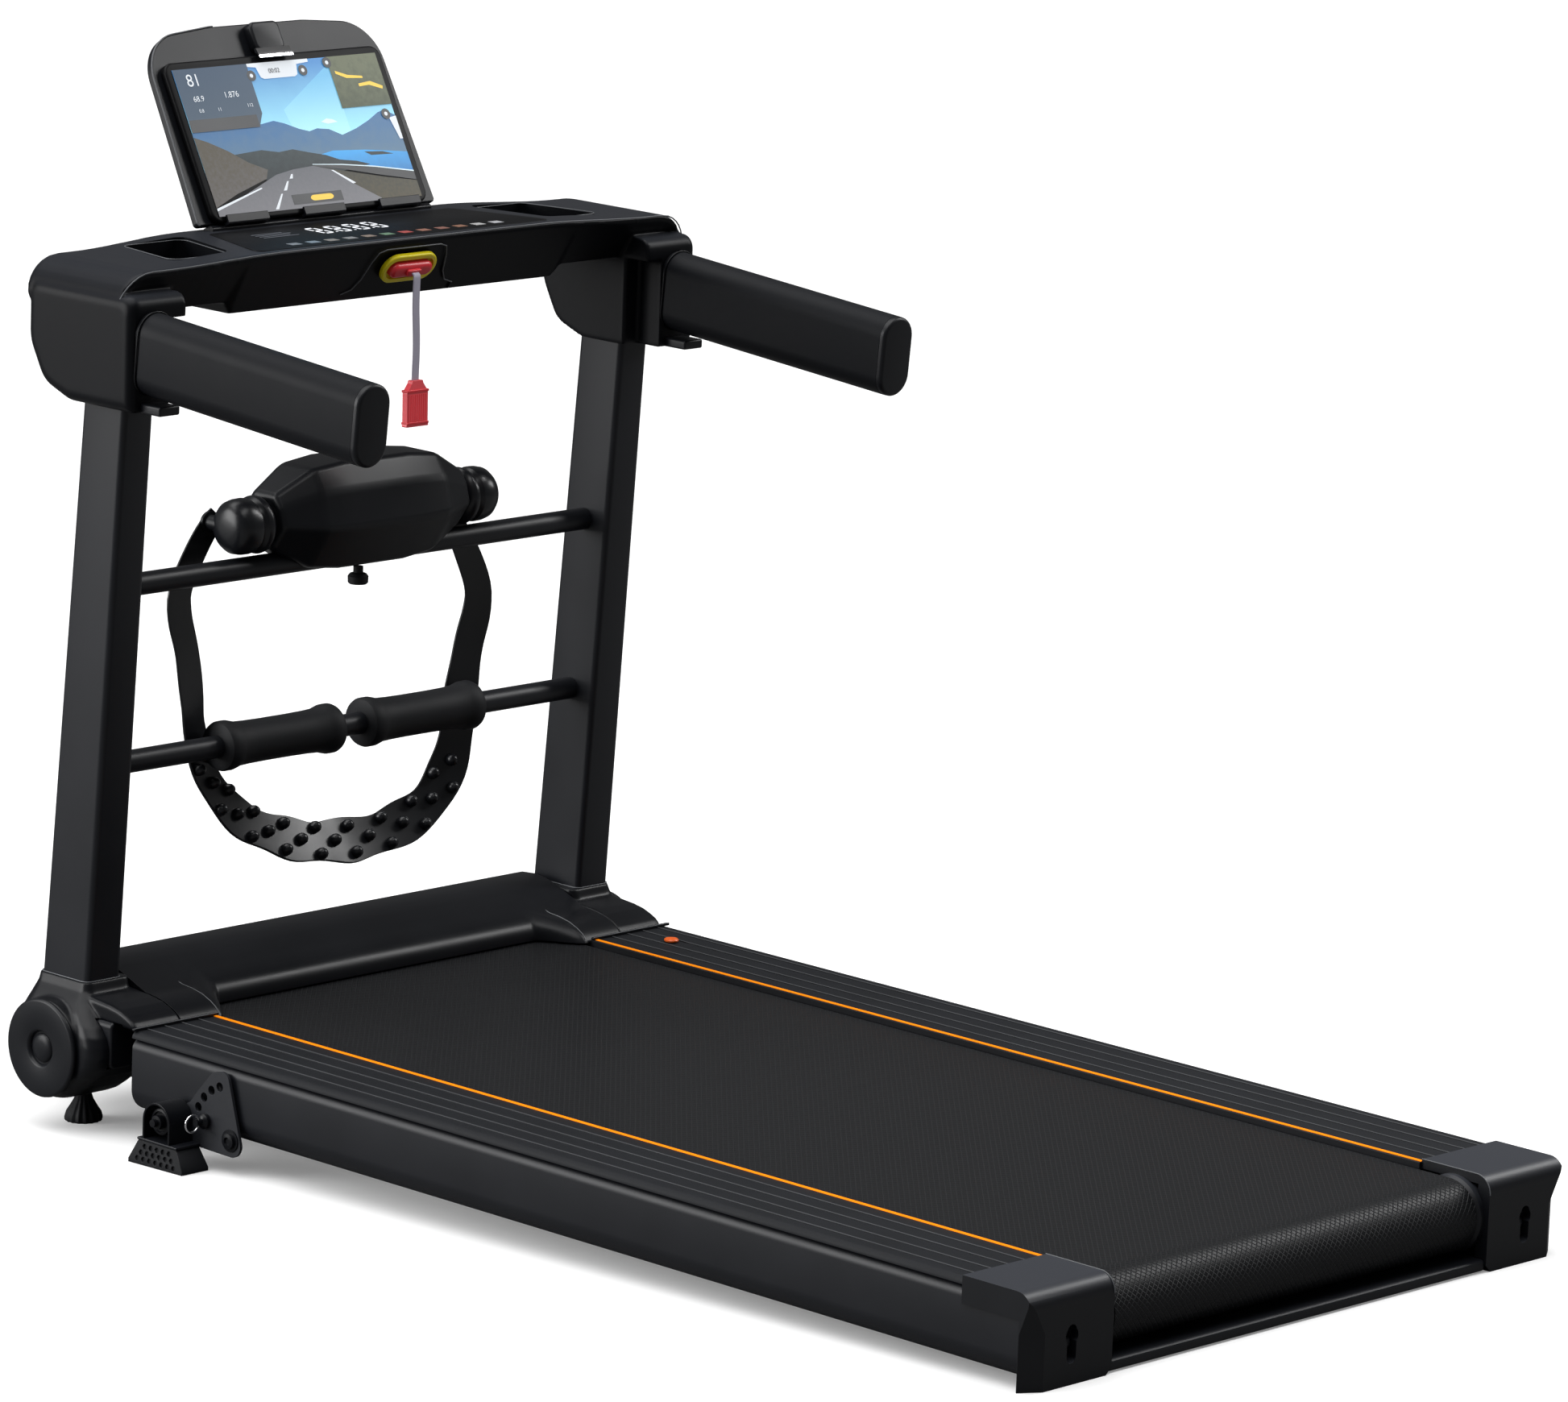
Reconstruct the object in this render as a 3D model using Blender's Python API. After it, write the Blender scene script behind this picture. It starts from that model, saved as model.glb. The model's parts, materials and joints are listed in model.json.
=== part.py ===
"""Folding home treadmill with a tablet holder, a belt massager and manual incline legs.

The deck, the uprights and the console are drawn in the machine frame: X to the user's right,
Y forward to the console, Z up from the walking surface. The machine empty carries that frame
and tips it by the deck's slope, so the rear caps and the feet stand on the floor at Z = 0.
"""
import math

import bmesh
import bpy
from mathutils import Matrix, Vector

# Overall layout, in metres and radians
DECK_SLOPE = math.radians(1.3)
GAP = 0.0003
FLATNESS = math.radians(0.05)
HINGE_Y = 1.155
HINGE_Z = -0.034
LEFT = -1
RIGHT = 1
SIDES = ((LEFT, "left"), (RIGHT, "right"))

# Deck
DECK_HALF_WIDTH = 0.350
RAIL_INNER = 0.284
RAIL_BOTTOM = -0.0765
RAIL_CURVE = 0.022
RAIL_WALL = 0.0025
RAIL_FRONT = 1.0497
FOOT_FRONT = 1.0504
FOOT_INNER = 0.2455
FOOT_THICK = 0.0065
RIB_OFFSETS = (0.271, 0.292, 0.313, 0.334)
RIB_HALF = 0.0011
RIB_HEIGHT = 0.0009
BOARD_HALF = 0.2435
BOARD_THICK = 0.016
BELT_HALF = 0.2335
BELT_TOP = -0.0045
BELT_THICK = 0.002
ROLLER_RADIUS = 0.031
REAR_ROLLER_Y = -0.0397
FRONT_ROLLER_Y = 1.100
BEAM_INNER = 0.262
BEAM_OUTER = 0.2815
BEAM_TOP = -0.030
BEAM_BOTTOM = -0.070
CAP_REAR = -0.079
CAP_SPLIT = -0.0655
CAP_BOTTOM = -0.085
CAP_TOP = 0.0025
COVER_TOP = 0.0023
CAP_OUTER = 0.3525
CAP_INNER = 0.2483
KEYHOLE_X = 0.300
KEYHOLE_Z = -0.049

# Drive
MOTOR_Y = 1.185
MOTOR_Z = -0.030
MOTOR_RADIUS = 0.037
ROLLER_PULLEY = 0.029
MOTOR_PULLEY = 0.012
PULLEY_INNER = 0.238
PULLEY_OUTER = 0.2575

# Hood and hinge housings
HOOD_HALF = 0.286
HOOD_LIP = -0.0025
HOOD_WALL = 0.003
WING_INNER = 0.240
NOSE_PROFILE = ((1.0900, HOOD_LIP), (1.0902, 0.0040), (1.0930, 0.0105), (1.0985, 0.0155), (1.1070, 0.0195),
                (1.1180, 0.0232), (1.1280, 0.0268))
WING_PROFILE = ((1.0508, HOOD_LIP), (1.0530, 0.0008), (1.0575, 0.0053), (1.0650, 0.0095), (1.0765, 0.0138),
                (1.0900, 0.0163), (1.1040, 0.0175))
CREST_PROFILE = ((1.1450, 0.0330), (1.1600, 0.0368), (1.1740, 0.0380))
DRUM_RADIUS = 0.0455
DRUM_INNER = 0.2887
DRUM_OUTER = 0.3665
DISC_RADIUS = 0.0468
DISC_REAR = 0.3668
DISC_FACE = 0.3716
HOUSING_LEVELS = ((0.0300, 1.1235, 1.1930, 0.3425, 0.006), (0.0120, 1.1140, 1.1975, 0.3520, 0.010),
                  (-0.0040, 1.0970, 1.2030, 0.3610, 0.012), (-0.0200, 1.0855, 1.2062, 0.3655, 0.013),
                  (-0.0340, 1.0835, 1.2070, 0.3660, 0.013), (-0.0480, 1.0890, 1.2045, 0.3655, 0.013),
                  (-0.0620, 1.1050, 1.1970, 0.3635, 0.013), (-0.0760, 1.1260, 1.1830, 0.3600, 0.012),
                  (-0.0830, 1.1420, 1.1700, 0.3560, 0.010))
LEVELLER_X = 0.313
LEVELLER_Y = 1.158

# Uprights and cross bars
POST_X = 0.320
POST_FOOT = (1.1595, 0.000)
POST_HEAD = (1.1200, 0.600)
POST_FOOT_SIZE = (0.0425, 0.065)
POST_HEAD_SIZE = (0.0372, 0.058)
POST_CURVE = 0.0060
COLLAR_TOP = 0.030
POST_WALL = 0.0025
BAR_RADIUS = 0.0108
UPPER_BAR = (1.135, 0.400)
LOWER_BAR = (1.146, 0.229)

# Console
CONSOLE_HALF = 0.365
CHEEK_INNER = 0.2975
CHEEK_NOTCH = 0.3165
CONSOLE_TOP = 0.711
CHEEK_TOP = 0.6860
END_CURVE = 0.0380
CHEEK_BOTTOM = 0.5790
FACE_TOP = (1.068, 0.706)
FACE_FOOT = (1.098, 0.652)
TRAY_CORNERS = ((0.205, 1.102), (0.276, 1.102), (0.258, 1.192), (0.182, 1.192))
TRAY_FLOOR = 0.673
GLASS_REAR_HALF = 0.190
GLASS_FRONT_HALF = 0.156
GLASS_REAR = 1.0800
GLASS_FRONT = 1.186
HANDLE_X = 0.3385
HANDLE_TILT = math.radians(4.6)
HANDLE_LENGTH = 0.322
HANDLE_ROOT = (1.088, 0.6355)
HANDLE_WIDTH = 0.040
HANDLE_HEIGHT = 0.077
LANYARD_RADIUS = 0.0016
LANYARD_LENGTH = 0.104

# Tablet holder
HOLDER_HINGE = (1.2035, 0.7165)
HOLDER_LEAN = math.radians(29)
HOLDER_FOOT_HALF = 0.153
HOLDER_HEAD_HALF = 0.147
HOLDER_HEIGHT = 0.1915
HOLDER_THICK = 0.008
TABLET_HALF = 0.1385
TABLET_HEIGHT = 0.1615
TABLET_FOOT = -0.0010
PANEL_FOOT = -0.0005
TABLET_THICK = 0.0068
LIP_OFFSETS = (-0.098, 0.0, 0.098)

# Massager
MASSAGER = (0.0, 1.138, 0.443)
DRUM_START = 0.1215
DRUM_END = 0.170
MASSAGE_BELT_Y = 1.1715
MASSAGE_BELT_SHEAR = -0.10
ROLLER_ENDS = (0.018, 0.166)

# Incline legs
LEG_PIVOT = (0.906, -0.073)
LEG_OUTLINE = ((0.8885, -0.0890), (0.9125, -0.0095), (0.9320, -0.0135), (0.9515, -0.0350),
               (0.9620, -0.0480), (0.985, -0.058), (0.985, -0.087))
LEG_PLATE = 0.3530
LEG_HOLE_RADIUS = 0.050
LEG_HOLE_ANGLES = (71, 57, 42, 27)
PIN_RADIUS = 0.036
PIN_ANGLE = 19
WHEEL_Y = 0.976
WHEEL_Z = -0.066
WHEEL_RADIUS = 0.0135
ARCH_OUTER = 0.0185
ARCH_INNER = 0.0158
PAD_MIDDLE = 0.974
PAD_OUTER = 0.387
PAD_INNER = 0.354
PAD_TOP = -0.0863

# Floor, seen from the machine frame
FLOOR_AT_ORIGIN = -(CAP_BOTTOM * math.cos(DECK_SLOPE) + CAP_REAR * math.sin(DECK_SLOPE))

FINISHES = {
    "black_metal": ((0.010, 0.011, 0.013), 0.32, 0.5),
    "black_plastic": ((0.012, 0.013, 0.015), 0.42, 0.0),
    "soft_black": ((0.014, 0.015, 0.017), 0.60, 0.0),
    "rubber": ((0.011, 0.011, 0.012), 0.75, 0.0),
    "belt": ((0.015, 0.016, 0.018), 0.55, 0.0),
    "steel": ((0.60, 0.60, 0.62), 0.25, 1.0),
    "glass": ((0.004, 0.004, 0.005), 0.06, 0.0),
    "board": ((0.10, 0.07, 0.05), 0.65, 0.0),
    "yellow": ((0.85, 0.72, 0.02), 0.35, 0.0),
    "red": ((0.80, 0.05, 0.06), 0.35, 0.0),
    "orange": ((0.85, 0.16, 0.02), 0.40, 0.0),
    "webbing": ((0.45, 0.43, 0.52), 0.80, 0.0),
}


def floor_height(y):
    """Machine-frame height of the floor under a point that lies y forward."""
    return -(FLOOR_AT_ORIGIN + y * math.sin(DECK_SLOPE)) / math.cos(DECK_SLOPE)


# ---------------------------------------------------------------- outlines

def rounded(points, radii, steps=4):
    """Outline whose corners are replaced by arcs tangent to both sides."""
    outline = []
    count = len(points)
    for index, (corner, radius) in enumerate(zip(points, radii)):
        here = Vector(corner)
        before = (Vector(points[index - 1]) - here).normalized()
        after = (Vector(points[(index + 1) % count]) - here).normalized()
        if radius == 0:
            outline.append(tuple(here))
            continue
        half = before.angle(after) / 2
        centre = here + (before + after).normalized() * radius / math.sin(half)
        start = here + before * radius / math.tan(half) - centre
        stop = here + after * radius / math.tan(half) - centre
        first = math.atan2(start.y, start.x)
        sweep = (math.atan2(stop.y, stop.x) - first + math.pi) % (2 * math.pi) - math.pi
        for step in range(steps + 1):
            angle = first + sweep * step / steps
            outline.append((centre.x + radius * math.cos(angle), centre.y + radius * math.sin(angle)))
    return outline


def rectangle(a_low, a_high, b_low, b_high, radius=0.0, steps=3):
    corners = [(a_low, b_low), (a_high, b_low), (a_high, b_high), (a_low, b_high)]
    return rounded(corners, [radius] * 4, steps)


def arc(centre, radius, first, last, steps):
    """Points of an arc, angles in degrees."""
    points = []
    for step in range(steps + 1):
        angle = math.radians(first + (last - first) * step / steps)
        points.append((centre[0] + radius * math.cos(angle), centre[1] + radius * math.sin(angle)))
    return points


def stadium(width, height, steps=8):
    """Upright outline with two half-round ends, centred on the origin."""
    radius = width / 2
    straight = height / 2 - radius
    return arc((0, straight), radius, 0, 180, steps) + arc((0, -straight), radius, 180, 360, steps)


def two_circle_loop(first, first_radius, second, second_radius, extra, steps=14):
    """Outline of a belt run round two circles, extra outside them."""
    across = Vector(second) - Vector(first)
    heading = math.degrees(math.atan2(across.y, across.x))
    tangent = math.degrees(math.acos((first_radius - second_radius) / across.length))
    far_side = arc(first, first_radius + extra, heading + tangent, heading + 360 - tangent, steps)
    near_side = arc(second, second_radius + extra, heading - tangent, heading + tangent, steps)
    return far_side + near_side


# ---------------------------------------------------------------- solids

def on_axis(axis, pair, along):
    """Place an outline's pair of coordinates in space, with along on the named axis."""
    a, b = pair
    return {"X": (along, a, b), "Y": (a, along, b), "Z": (a, b, along)}[axis]


def loft(rings):
    """Closed solid through rings of equally many points."""
    mesh = bmesh.new()
    loops = [[mesh.verts.new(point) for point in ring] for ring in rings]
    count = len(loops[0])
    for lower, upper in zip(loops, loops[1:]):
        for index in range(count):
            after = (index + 1) % count
            mesh.faces.new((lower[index], lower[after], upper[after], upper[index]))
    caps = [mesh.faces.new(loops[0]), mesh.faces.new(loops[-1])]
    bmesh.ops.recalc_face_normals(mesh, faces=mesh.faces)
    bmesh.ops.triangulate(mesh, faces=caps)
    return mesh


def extrude(outline, axis, low, high):
    return loft([[on_axis(axis, pair, level) for pair in outline] for level in (low, high)])


def tube(outer_rings, inner_rings):
    """Open-ended tube between two lofts with matching rings."""
    mesh = bmesh.new()
    skins = []
    for rings in (outer_rings, inner_rings):
        loops = [[mesh.verts.new(point) for point in ring] for ring in rings]
        skins.append(loops)
    count = len(outer_rings[0])
    for loops in skins:
        for lower, upper in zip(loops, loops[1:]):
            for index in range(count):
                after = (index + 1) % count
                mesh.faces.new((lower[index], lower[after], upper[after], upper[index]))
    for end in (0, -1):
        outer, inner = skins[0][end], skins[1][end]
        for index in range(count):
            after = (index + 1) % count
            mesh.faces.new((outer[index], outer[after], inner[after], inner[index]))
    bmesh.ops.recalc_face_normals(mesh, faces=mesh.faces)
    return mesh


def hollow(outer, inner, axis, low, high):
    levels = (low, high)
    outer_rings = [[on_axis(axis, pair, level) for pair in outer] for level in levels]
    inner_rings = [[on_axis(axis, pair, level) for pair in inner] for level in levels]
    return tube(outer_rings, inner_rings)


def lathe(profile, axis, centre=(0, 0), segments=24):
    """Solid of revolution. The profile lists (radius, place along the axis)."""
    mesh = bmesh.new()
    rings = []
    for radius, along in profile:
        if radius == 0:
            rings.append([mesh.verts.new(on_axis(axis, centre, along))])
            continue
        ring = arc(centre, radius, 0, 360 - 360 / segments, segments - 1)
        rings.append([mesh.verts.new(on_axis(axis, pair, along)) for pair in ring])
    for lower, upper in zip(rings, rings[1:]):
        for index in range(segments):
            after = (index + 1) % segments
            if len(lower) == 1:
                mesh.faces.new((lower[0], upper[after], upper[index]))
            elif len(upper) == 1:
                mesh.faces.new((lower[index], lower[after], upper[0]))
            else:
                mesh.faces.new((lower[index], lower[after], upper[after], upper[index]))
    for ring in (rings[0], rings[-1]):
        if len(ring) > 1:
            mesh.faces.new(ring)
    bmesh.ops.recalc_face_normals(mesh, faces=mesh.faces)
    return mesh


def box(x_low, x_high, y_low, y_high, z_low, z_high):
    low_x, high_x = sorted((x_low, x_high))
    return extrude(rectangle(low_x, high_x, y_low, y_high), "Z", z_low, z_high)


def cushioned(outline, axis, flat, far, radius, steps=5):
    """Extrusion from a flat end to a far end whose rim is rounded by radius."""
    a_values = [pair[0] for pair in outline]
    b_values = [pair[1] for pair in outline]
    middle = ((min(a_values) + max(a_values)) / 2, (min(b_values) + max(b_values)) / 2)
    half = ((max(a_values) - min(a_values)) / 2, (max(b_values) - min(b_values)) / 2)
    heading = math.copysign(1.0, far - flat)
    rings = [[on_axis(axis, pair, flat) for pair in outline]]
    for step in range(steps + 1):
        angle = math.pi / 2 * step / steps
        inset = radius * (1 - math.cos(angle))
        level = far - heading * radius * (1 - math.sin(angle))
        scale = (1 - inset / half[0], 1 - inset / half[1])
        ring = [(middle[0] + (a - middle[0]) * scale[0], middle[1] + (b - middle[1]) * scale[1])
                for a, b in outline]
        rings.append([on_axis(axis, pair, level) for pair in ring])
    return loft(rings)


def bevel_edges(mesh, width, segments, wanted):
    """Round the edges whose two end points both pass the wanted test."""
    bmesh.ops.dissolve_limit(mesh, angle_limit=FLATNESS, verts=mesh.verts, edges=mesh.edges)
    edges = [edge for edge in mesh.edges if all(wanted(vert.co) for vert in edge.verts)]
    bmesh.ops.bevel(mesh, geom=edges, offset=width, segments=segments, affect="EDGES", profile=0.5)
    bmesh.ops.triangulate(mesh, faces=[face for face in mesh.faces if len(face.verts) > 4])
    return mesh


# ---------------------------------------------------------------- scene objects

def clear_scene():
    for item in list(bpy.data.objects):
        bpy.data.objects.remove(item, do_unlink=True)


def make_materials():
    made = {}
    for name, (colour, roughness, metallic) in FINISHES.items():
        material = bpy.data.materials.new(name)
        material.use_nodes = True
        shader = material.node_tree.nodes["Principled BSDF"]
        shader.inputs["Base Color"].default_value = (*colour, 1.0)
        shader.inputs["Roughness"].default_value = roughness
        shader.inputs["Metallic"].default_value = metallic
        made[name] = material
    return made


def empty(name, place, parent=None, turn=(0, 0, 0)):
    item = bpy.data.objects.new(name, None)
    item.empty_display_size = 0.05
    item.location = place
    item.rotation_euler = turn
    item.parent = parent
    bpy.context.scene.collection.objects.link(item)
    return item


def solid(name, mesh, finish, parent, origin=(0, 0, 0), turn=(0, 0, 0)):
    """Node whose mesh is drawn in its parent's frame and whose origin sits at origin."""
    bmesh.ops.translate(mesh, verts=mesh.verts, vec=-Vector(origin))
    bmesh.ops.connect_verts_nonplanar(mesh, angle_limit=FLATNESS, faces=mesh.faces)
    data = bpy.data.meshes.new(name)
    mesh.to_mesh(data)
    mesh.free()
    data.shade_smooth()
    data.set_sharp_from_angle(angle=math.radians(32))
    item = bpy.data.objects.new(name, data)
    item.location = origin
    item.rotation_euler = turn
    item.parent = parent
    data.materials.append(MATERIALS[finish])
    bpy.context.scene.collection.objects.link(item)
    return item


def trim(item, mesh, operation="DIFFERENCE"):
    """Cut a helper shape from a node, or join it on. The helper uses the node's parent frame."""
    count = len(item.modifiers) + 1
    bmesh.ops.translate(mesh, verts=mesh.verts, vec=-Vector(item.location))
    bmesh.ops.connect_verts_nonplanar(mesh, angle_limit=FLATNESS, faces=mesh.faces)
    data = bpy.data.meshes.new(f"{item.name}_helper_{count}")
    mesh.to_mesh(data)
    mesh.free()
    helper = bpy.data.objects.new(data.name, data)
    helper.location = item.location
    helper.rotation_euler = item.rotation_euler
    helper.parent = item.parent
    helper.hide_render = True
    helper.display_type = "WIRE"
    bpy.context.scene.collection.objects.link(helper)
    boolean = item.modifiers.new(f"{operation.lower()}_{count}", "BOOLEAN")
    boolean.operation = operation
    boolean.object = helper
    boolean.solver = "EXACT"


def join(item, mesh):
    trim(item, mesh, "UNION")


# ---------------------------------------------------------------- deck

def build_rails(machine):
    for side, word in SIDES:
        corners = [(RAIL_INNER, RAIL_BOTTOM), (DECK_HALF_WIDTH, RAIL_BOTTOM),
                   (DECK_HALF_WIDTH, -FOOT_THICK - GAP), (RAIL_INNER, -FOOT_THICK - GAP)]
        outer = rounded(corners, (0.002, RAIL_CURVE, 0.012, 0.002), 6)
        inset = ((RAIL_WALL, RAIL_WALL), (-RAIL_WALL, RAIL_WALL), (-RAIL_WALL, -RAIL_WALL),
                 (RAIL_WALL, -RAIL_WALL))
        inner_corners = [(a + da, b + db) for (a, b), (da, db) in zip(corners, inset)]
        inner = rounded(inner_corners, (0.001, RAIL_CURVE - RAIL_WALL, 0.0095, 0.001), 6)
        rail = hollow([(side * a, b) for a, b in outer], [(side * a, b) for a, b in inner],
                      "Y", CAP_SPLIT + GAP, RAIL_FRONT)
        solid(f"side_rail_{word}", rail, "black_metal", machine)

        top = [(FOOT_INNER, -FOOT_THICK), (FOOT_INNER, 0.0)]
        for offset in RIB_OFFSETS:
            top += [(offset - RIB_HALF, 0.0), (offset - RIB_HALF / 2, RIB_HEIGHT),
                    (offset + RIB_HALF / 2, RIB_HEIGHT), (offset + RIB_HALF, 0.0)]
        top += arc((0.3435, -0.0045), 0.0045, 90, 0, 4)
        top.append((0.348, -FOOT_THICK))
        foot = extrude([(side * a, b) for a, b in top], "Y", GAP, FOOT_FRONT)
        rail_top = solid(f"foot_rail_{word}", foot, "soft_black", machine)
        if side == RIGHT:
            trim(rail_top, lathe(((0.0042, -0.010), (0.0042, 0.004)), "Z", (0.303, 0.997), 16))


def build_walking_surface(machine):
    board = box(-BOARD_HALF, BOARD_HALF, 0.020, 1.045,
                BELT_TOP - BELT_THICK - GAP - BOARD_THICK, BELT_TOP - BELT_THICK - GAP)
    solid("deck_board", board, "board", machine)
    radius = ROLLER_RADIUS + GAP
    height = BELT_TOP - BELT_THICK - radius
    rear = (REAR_ROLLER_Y, height)
    front = (FRONT_ROLLER_Y, height)
    outer = two_circle_loop(rear, radius, front, radius, BELT_THICK, 12)
    inner = two_circle_loop(rear, radius, front, radius, 0.0, 12)
    solid("running_belt", hollow(outer, inner, "X", -BELT_HALF, BELT_HALF), "belt", machine)
    return height


def roller_profile(axle_end):
    return [(0.0, -axle_end), (0.006, -axle_end), (0.006, -0.2328), (ROLLER_RADIUS - 0.002, -0.2328),
            (ROLLER_RADIUS, -0.2308), (ROLLER_RADIUS, 0.2308), (ROLLER_RADIUS - 0.002, 0.2328)]


def build_rollers(machine, height):
    axle_end = BEAM_INNER - 0.001
    ending = [(0.006, 0.2328), (0.006, axle_end), (0.0, axle_end)]
    rear = lathe(roller_profile(axle_end) + ending, "X", (REAR_ROLLER_Y, height), 24)
    solid("rear_roller", rear, "steel", machine, (0, REAR_ROLLER_Y, height))
    pulley = [(0.010, 0.2328), (0.010, PULLEY_INNER), (ROLLER_PULLEY, PULLEY_INNER),
              (ROLLER_PULLEY, PULLEY_OUTER), (0.006, PULLEY_OUTER), (0.006, axle_end), (0.0, axle_end)]
    front = lathe(roller_profile(axle_end) + pulley, "X", (FRONT_ROLLER_Y, height), 24)
    solid("front_roller", front, "steel", machine, (0, FRONT_ROLLER_Y, height))


def build_drive(machine, height):
    body = [(0.0, -0.070), (0.012, -0.070), (0.012, -0.062), (0.032, -0.062), (MOTOR_RADIUS, -0.054),
            (MOTOR_RADIUS, 0.178), (0.032, 0.186), (0.0, 0.186)]
    motor = solid("motor", lathe(body, "X", (MOTOR_Y, MOTOR_Z), 24), "black_metal", machine)
    for x in (-0.030, 0.130):
        join(motor, box(x, x + 0.030, MOTOR_Y - 0.030, MOTOR_Y + 0.030, MOTOR_Z - 0.0390, MOTOR_Z - 0.020))
    shaft = [(0.0, 0.190), (0.005, 0.190), (0.005, PULLEY_INNER), (MOTOR_PULLEY, PULLEY_INNER),
             (MOTOR_PULLEY, PULLEY_OUTER), (0.0, PULLEY_OUTER)]
    solid("motor_pulley", lathe(shaft, "X", (MOTOR_Y, MOTOR_Z), 20), "steel", machine,
          (0, MOTOR_Y, MOTOR_Z))
    circles = ((FRONT_ROLLER_Y, height), ROLLER_PULLEY + GAP, (MOTOR_Y, MOTOR_Z), MOTOR_PULLEY + GAP)
    loop = hollow(two_circle_loop(*circles, 0.0022), two_circle_loop(*circles, 0.0), "X",
                  PULLEY_INNER + 0.002, PULLEY_OUTER - 0.002)
    solid("drive_belt", loop, "rubber", machine)
    board = box(-0.225, -0.105, 1.150, 1.212, -0.055, -0.0535)
    control = solid("controller_board", board, "board", machine)
    for x_low, size in ((-0.215, 0.030), (-0.175, 0.018), (-0.150, 0.034)):
        join(control, box(x_low, x_low + size, 1.160, 1.160 + size, -0.054, -0.054 + size * 0.7))
    for x_low in (-0.221, -0.113):
        join(control, box(x_low, x_low + 0.004, 1.190, 1.194, -0.0692, -0.0545))


def build_deck_frame(machine):
    beam_rear = -0.060
    beams = []
    for side in (LEFT, RIGHT):
        outline = rectangle(*sorted((side * BEAM_INNER, side * BEAM_OUTER)), BEAM_BOTTOM, BEAM_TOP)
        beams.append(extrude(outline, "Y", beam_rear, 1.200))
    frame = solid("deck_frame", beams[0], "black_metal", machine)
    join(frame, beams[1])
    for y in (0.20, 0.50, 0.80):
        join(frame, box(-BEAM_INNER - 0.001, BEAM_INNER + 0.001, y, y + 0.040, -0.060, -0.0240))
    join(frame, box(-BEAM_OUTER, BEAM_OUTER, 1.145, 1.195, -0.0755, BEAM_BOTTOM + 0.0005))
    join(frame, box(-BEAM_OUTER, BEAM_OUTER, -0.0648, -0.0280, -0.0840, -0.0736))
    for side in (LEFT, RIGHT):
        join(frame, box(side * BEAM_INNER, side * BEAM_OUTER, -0.0600, -0.0525, -0.0760, -0.0650))
    tube_outline = rounded([(-0.0770, -0.0838), (-0.0640, -0.0838), (-0.0640, -0.0734), (-0.0770, -0.0734)],
                           (0.003, 0, 0, 0.003), 3)
    join(frame, extrude(tube_outline, "X", -0.2475, 0.2475))


def build_end_caps(machine, height):
    for side, word in SIDES:
        plan = [(CAP_INNER, CAP_SPLIT), (CAP_INNER, CAP_REAR), (0.333, CAP_REAR), (CAP_OUTER, -0.066),
                (CAP_OUTER, CAP_SPLIT)]
        block = extrude([(side * a, b) for a, b in plan], "Z", CAP_BOTTOM, CAP_TOP)
        for vert in block.verts:
            if vert.co.z < 0:
                vert.co.z = floor_height(vert.co.y)
        bevel_edges(block, 0.011, 4, lambda co: co.z > 0 and co.y < CAP_SPLIT - 0.0001)
        cap = solid(f"end_cap_{word}", block, "black_plastic", machine)
        cover = rounded([(CAP_INNER, -0.0060), (0.3505, -0.0060), (0.3505, -0.022), (CAP_OUTER, -0.022),
                         (CAP_OUTER, COVER_TOP), (CAP_INNER, COVER_TOP)], (0, 0, 0, 0, 0.006, 0), 3)
        join(cap, extrude([(side * a, b) for a, b in cover], "Y", CAP_SPLIT - 0.0010, 0.0))
        collar = [(0.0, 0.2343), (0.0330, 0.2343), (0.0352, 0.2365), (0.0352, 0.2531), (0.0, 0.2531)]
        join(cap, lathe([(r, side * x) for r, x in collar], "X", (REAR_ROLLER_Y, height), 20))
        bore = lathe(((0.0068, side * 0.230), (0.0068, side * 0.260)), "X", (REAR_ROLLER_Y, height), 16)
        trim(cap, bore)
        slot = rounded([(KEYHOLE_X - 0.006, KEYHOLE_Z - 0.017), (KEYHOLE_X + 0.006, KEYHOLE_Z - 0.017),
                        (KEYHOLE_X + 0.006, KEYHOLE_Z + 0.017), (KEYHOLE_X - 0.006, KEYHOLE_Z + 0.017)],
                       (0.004,) * 4, 3)
        trim(cap, extrude([(side * a, b) for a, b in slot], "Y", -0.085, -0.060))
        bolt = [(0.0, -0.0765), (0.0045, -0.0765), (0.0050, -0.0755), (0.0050, -0.0700), (0.0030, -0.0700),
                (0.0030, -0.030), (0.0, -0.030)]
        solid(f"tension_bolt_{word}", lathe(bolt, "Y", (side * KEYHOLE_X, KEYHOLE_Z), 8), "steel", machine,
              (side * KEYHOLE_X, CAP_REAR, KEYHOLE_Z))


def build_port_plug(machine):
    profile = [(0.0, -0.0055), (0.0036, -0.0055), (0.0036, 0.0012), (0.0075, 0.0012), (0.0075, 0.0024),
               (0.0060, 0.0040), (0.0, 0.0044)]
    solid("oil_port_plug", lathe(profile, "Z", (0.303, 0.997), 16), "orange", machine, (0.303, 0.997, 0))


# ---------------------------------------------------------------- hood

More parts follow.
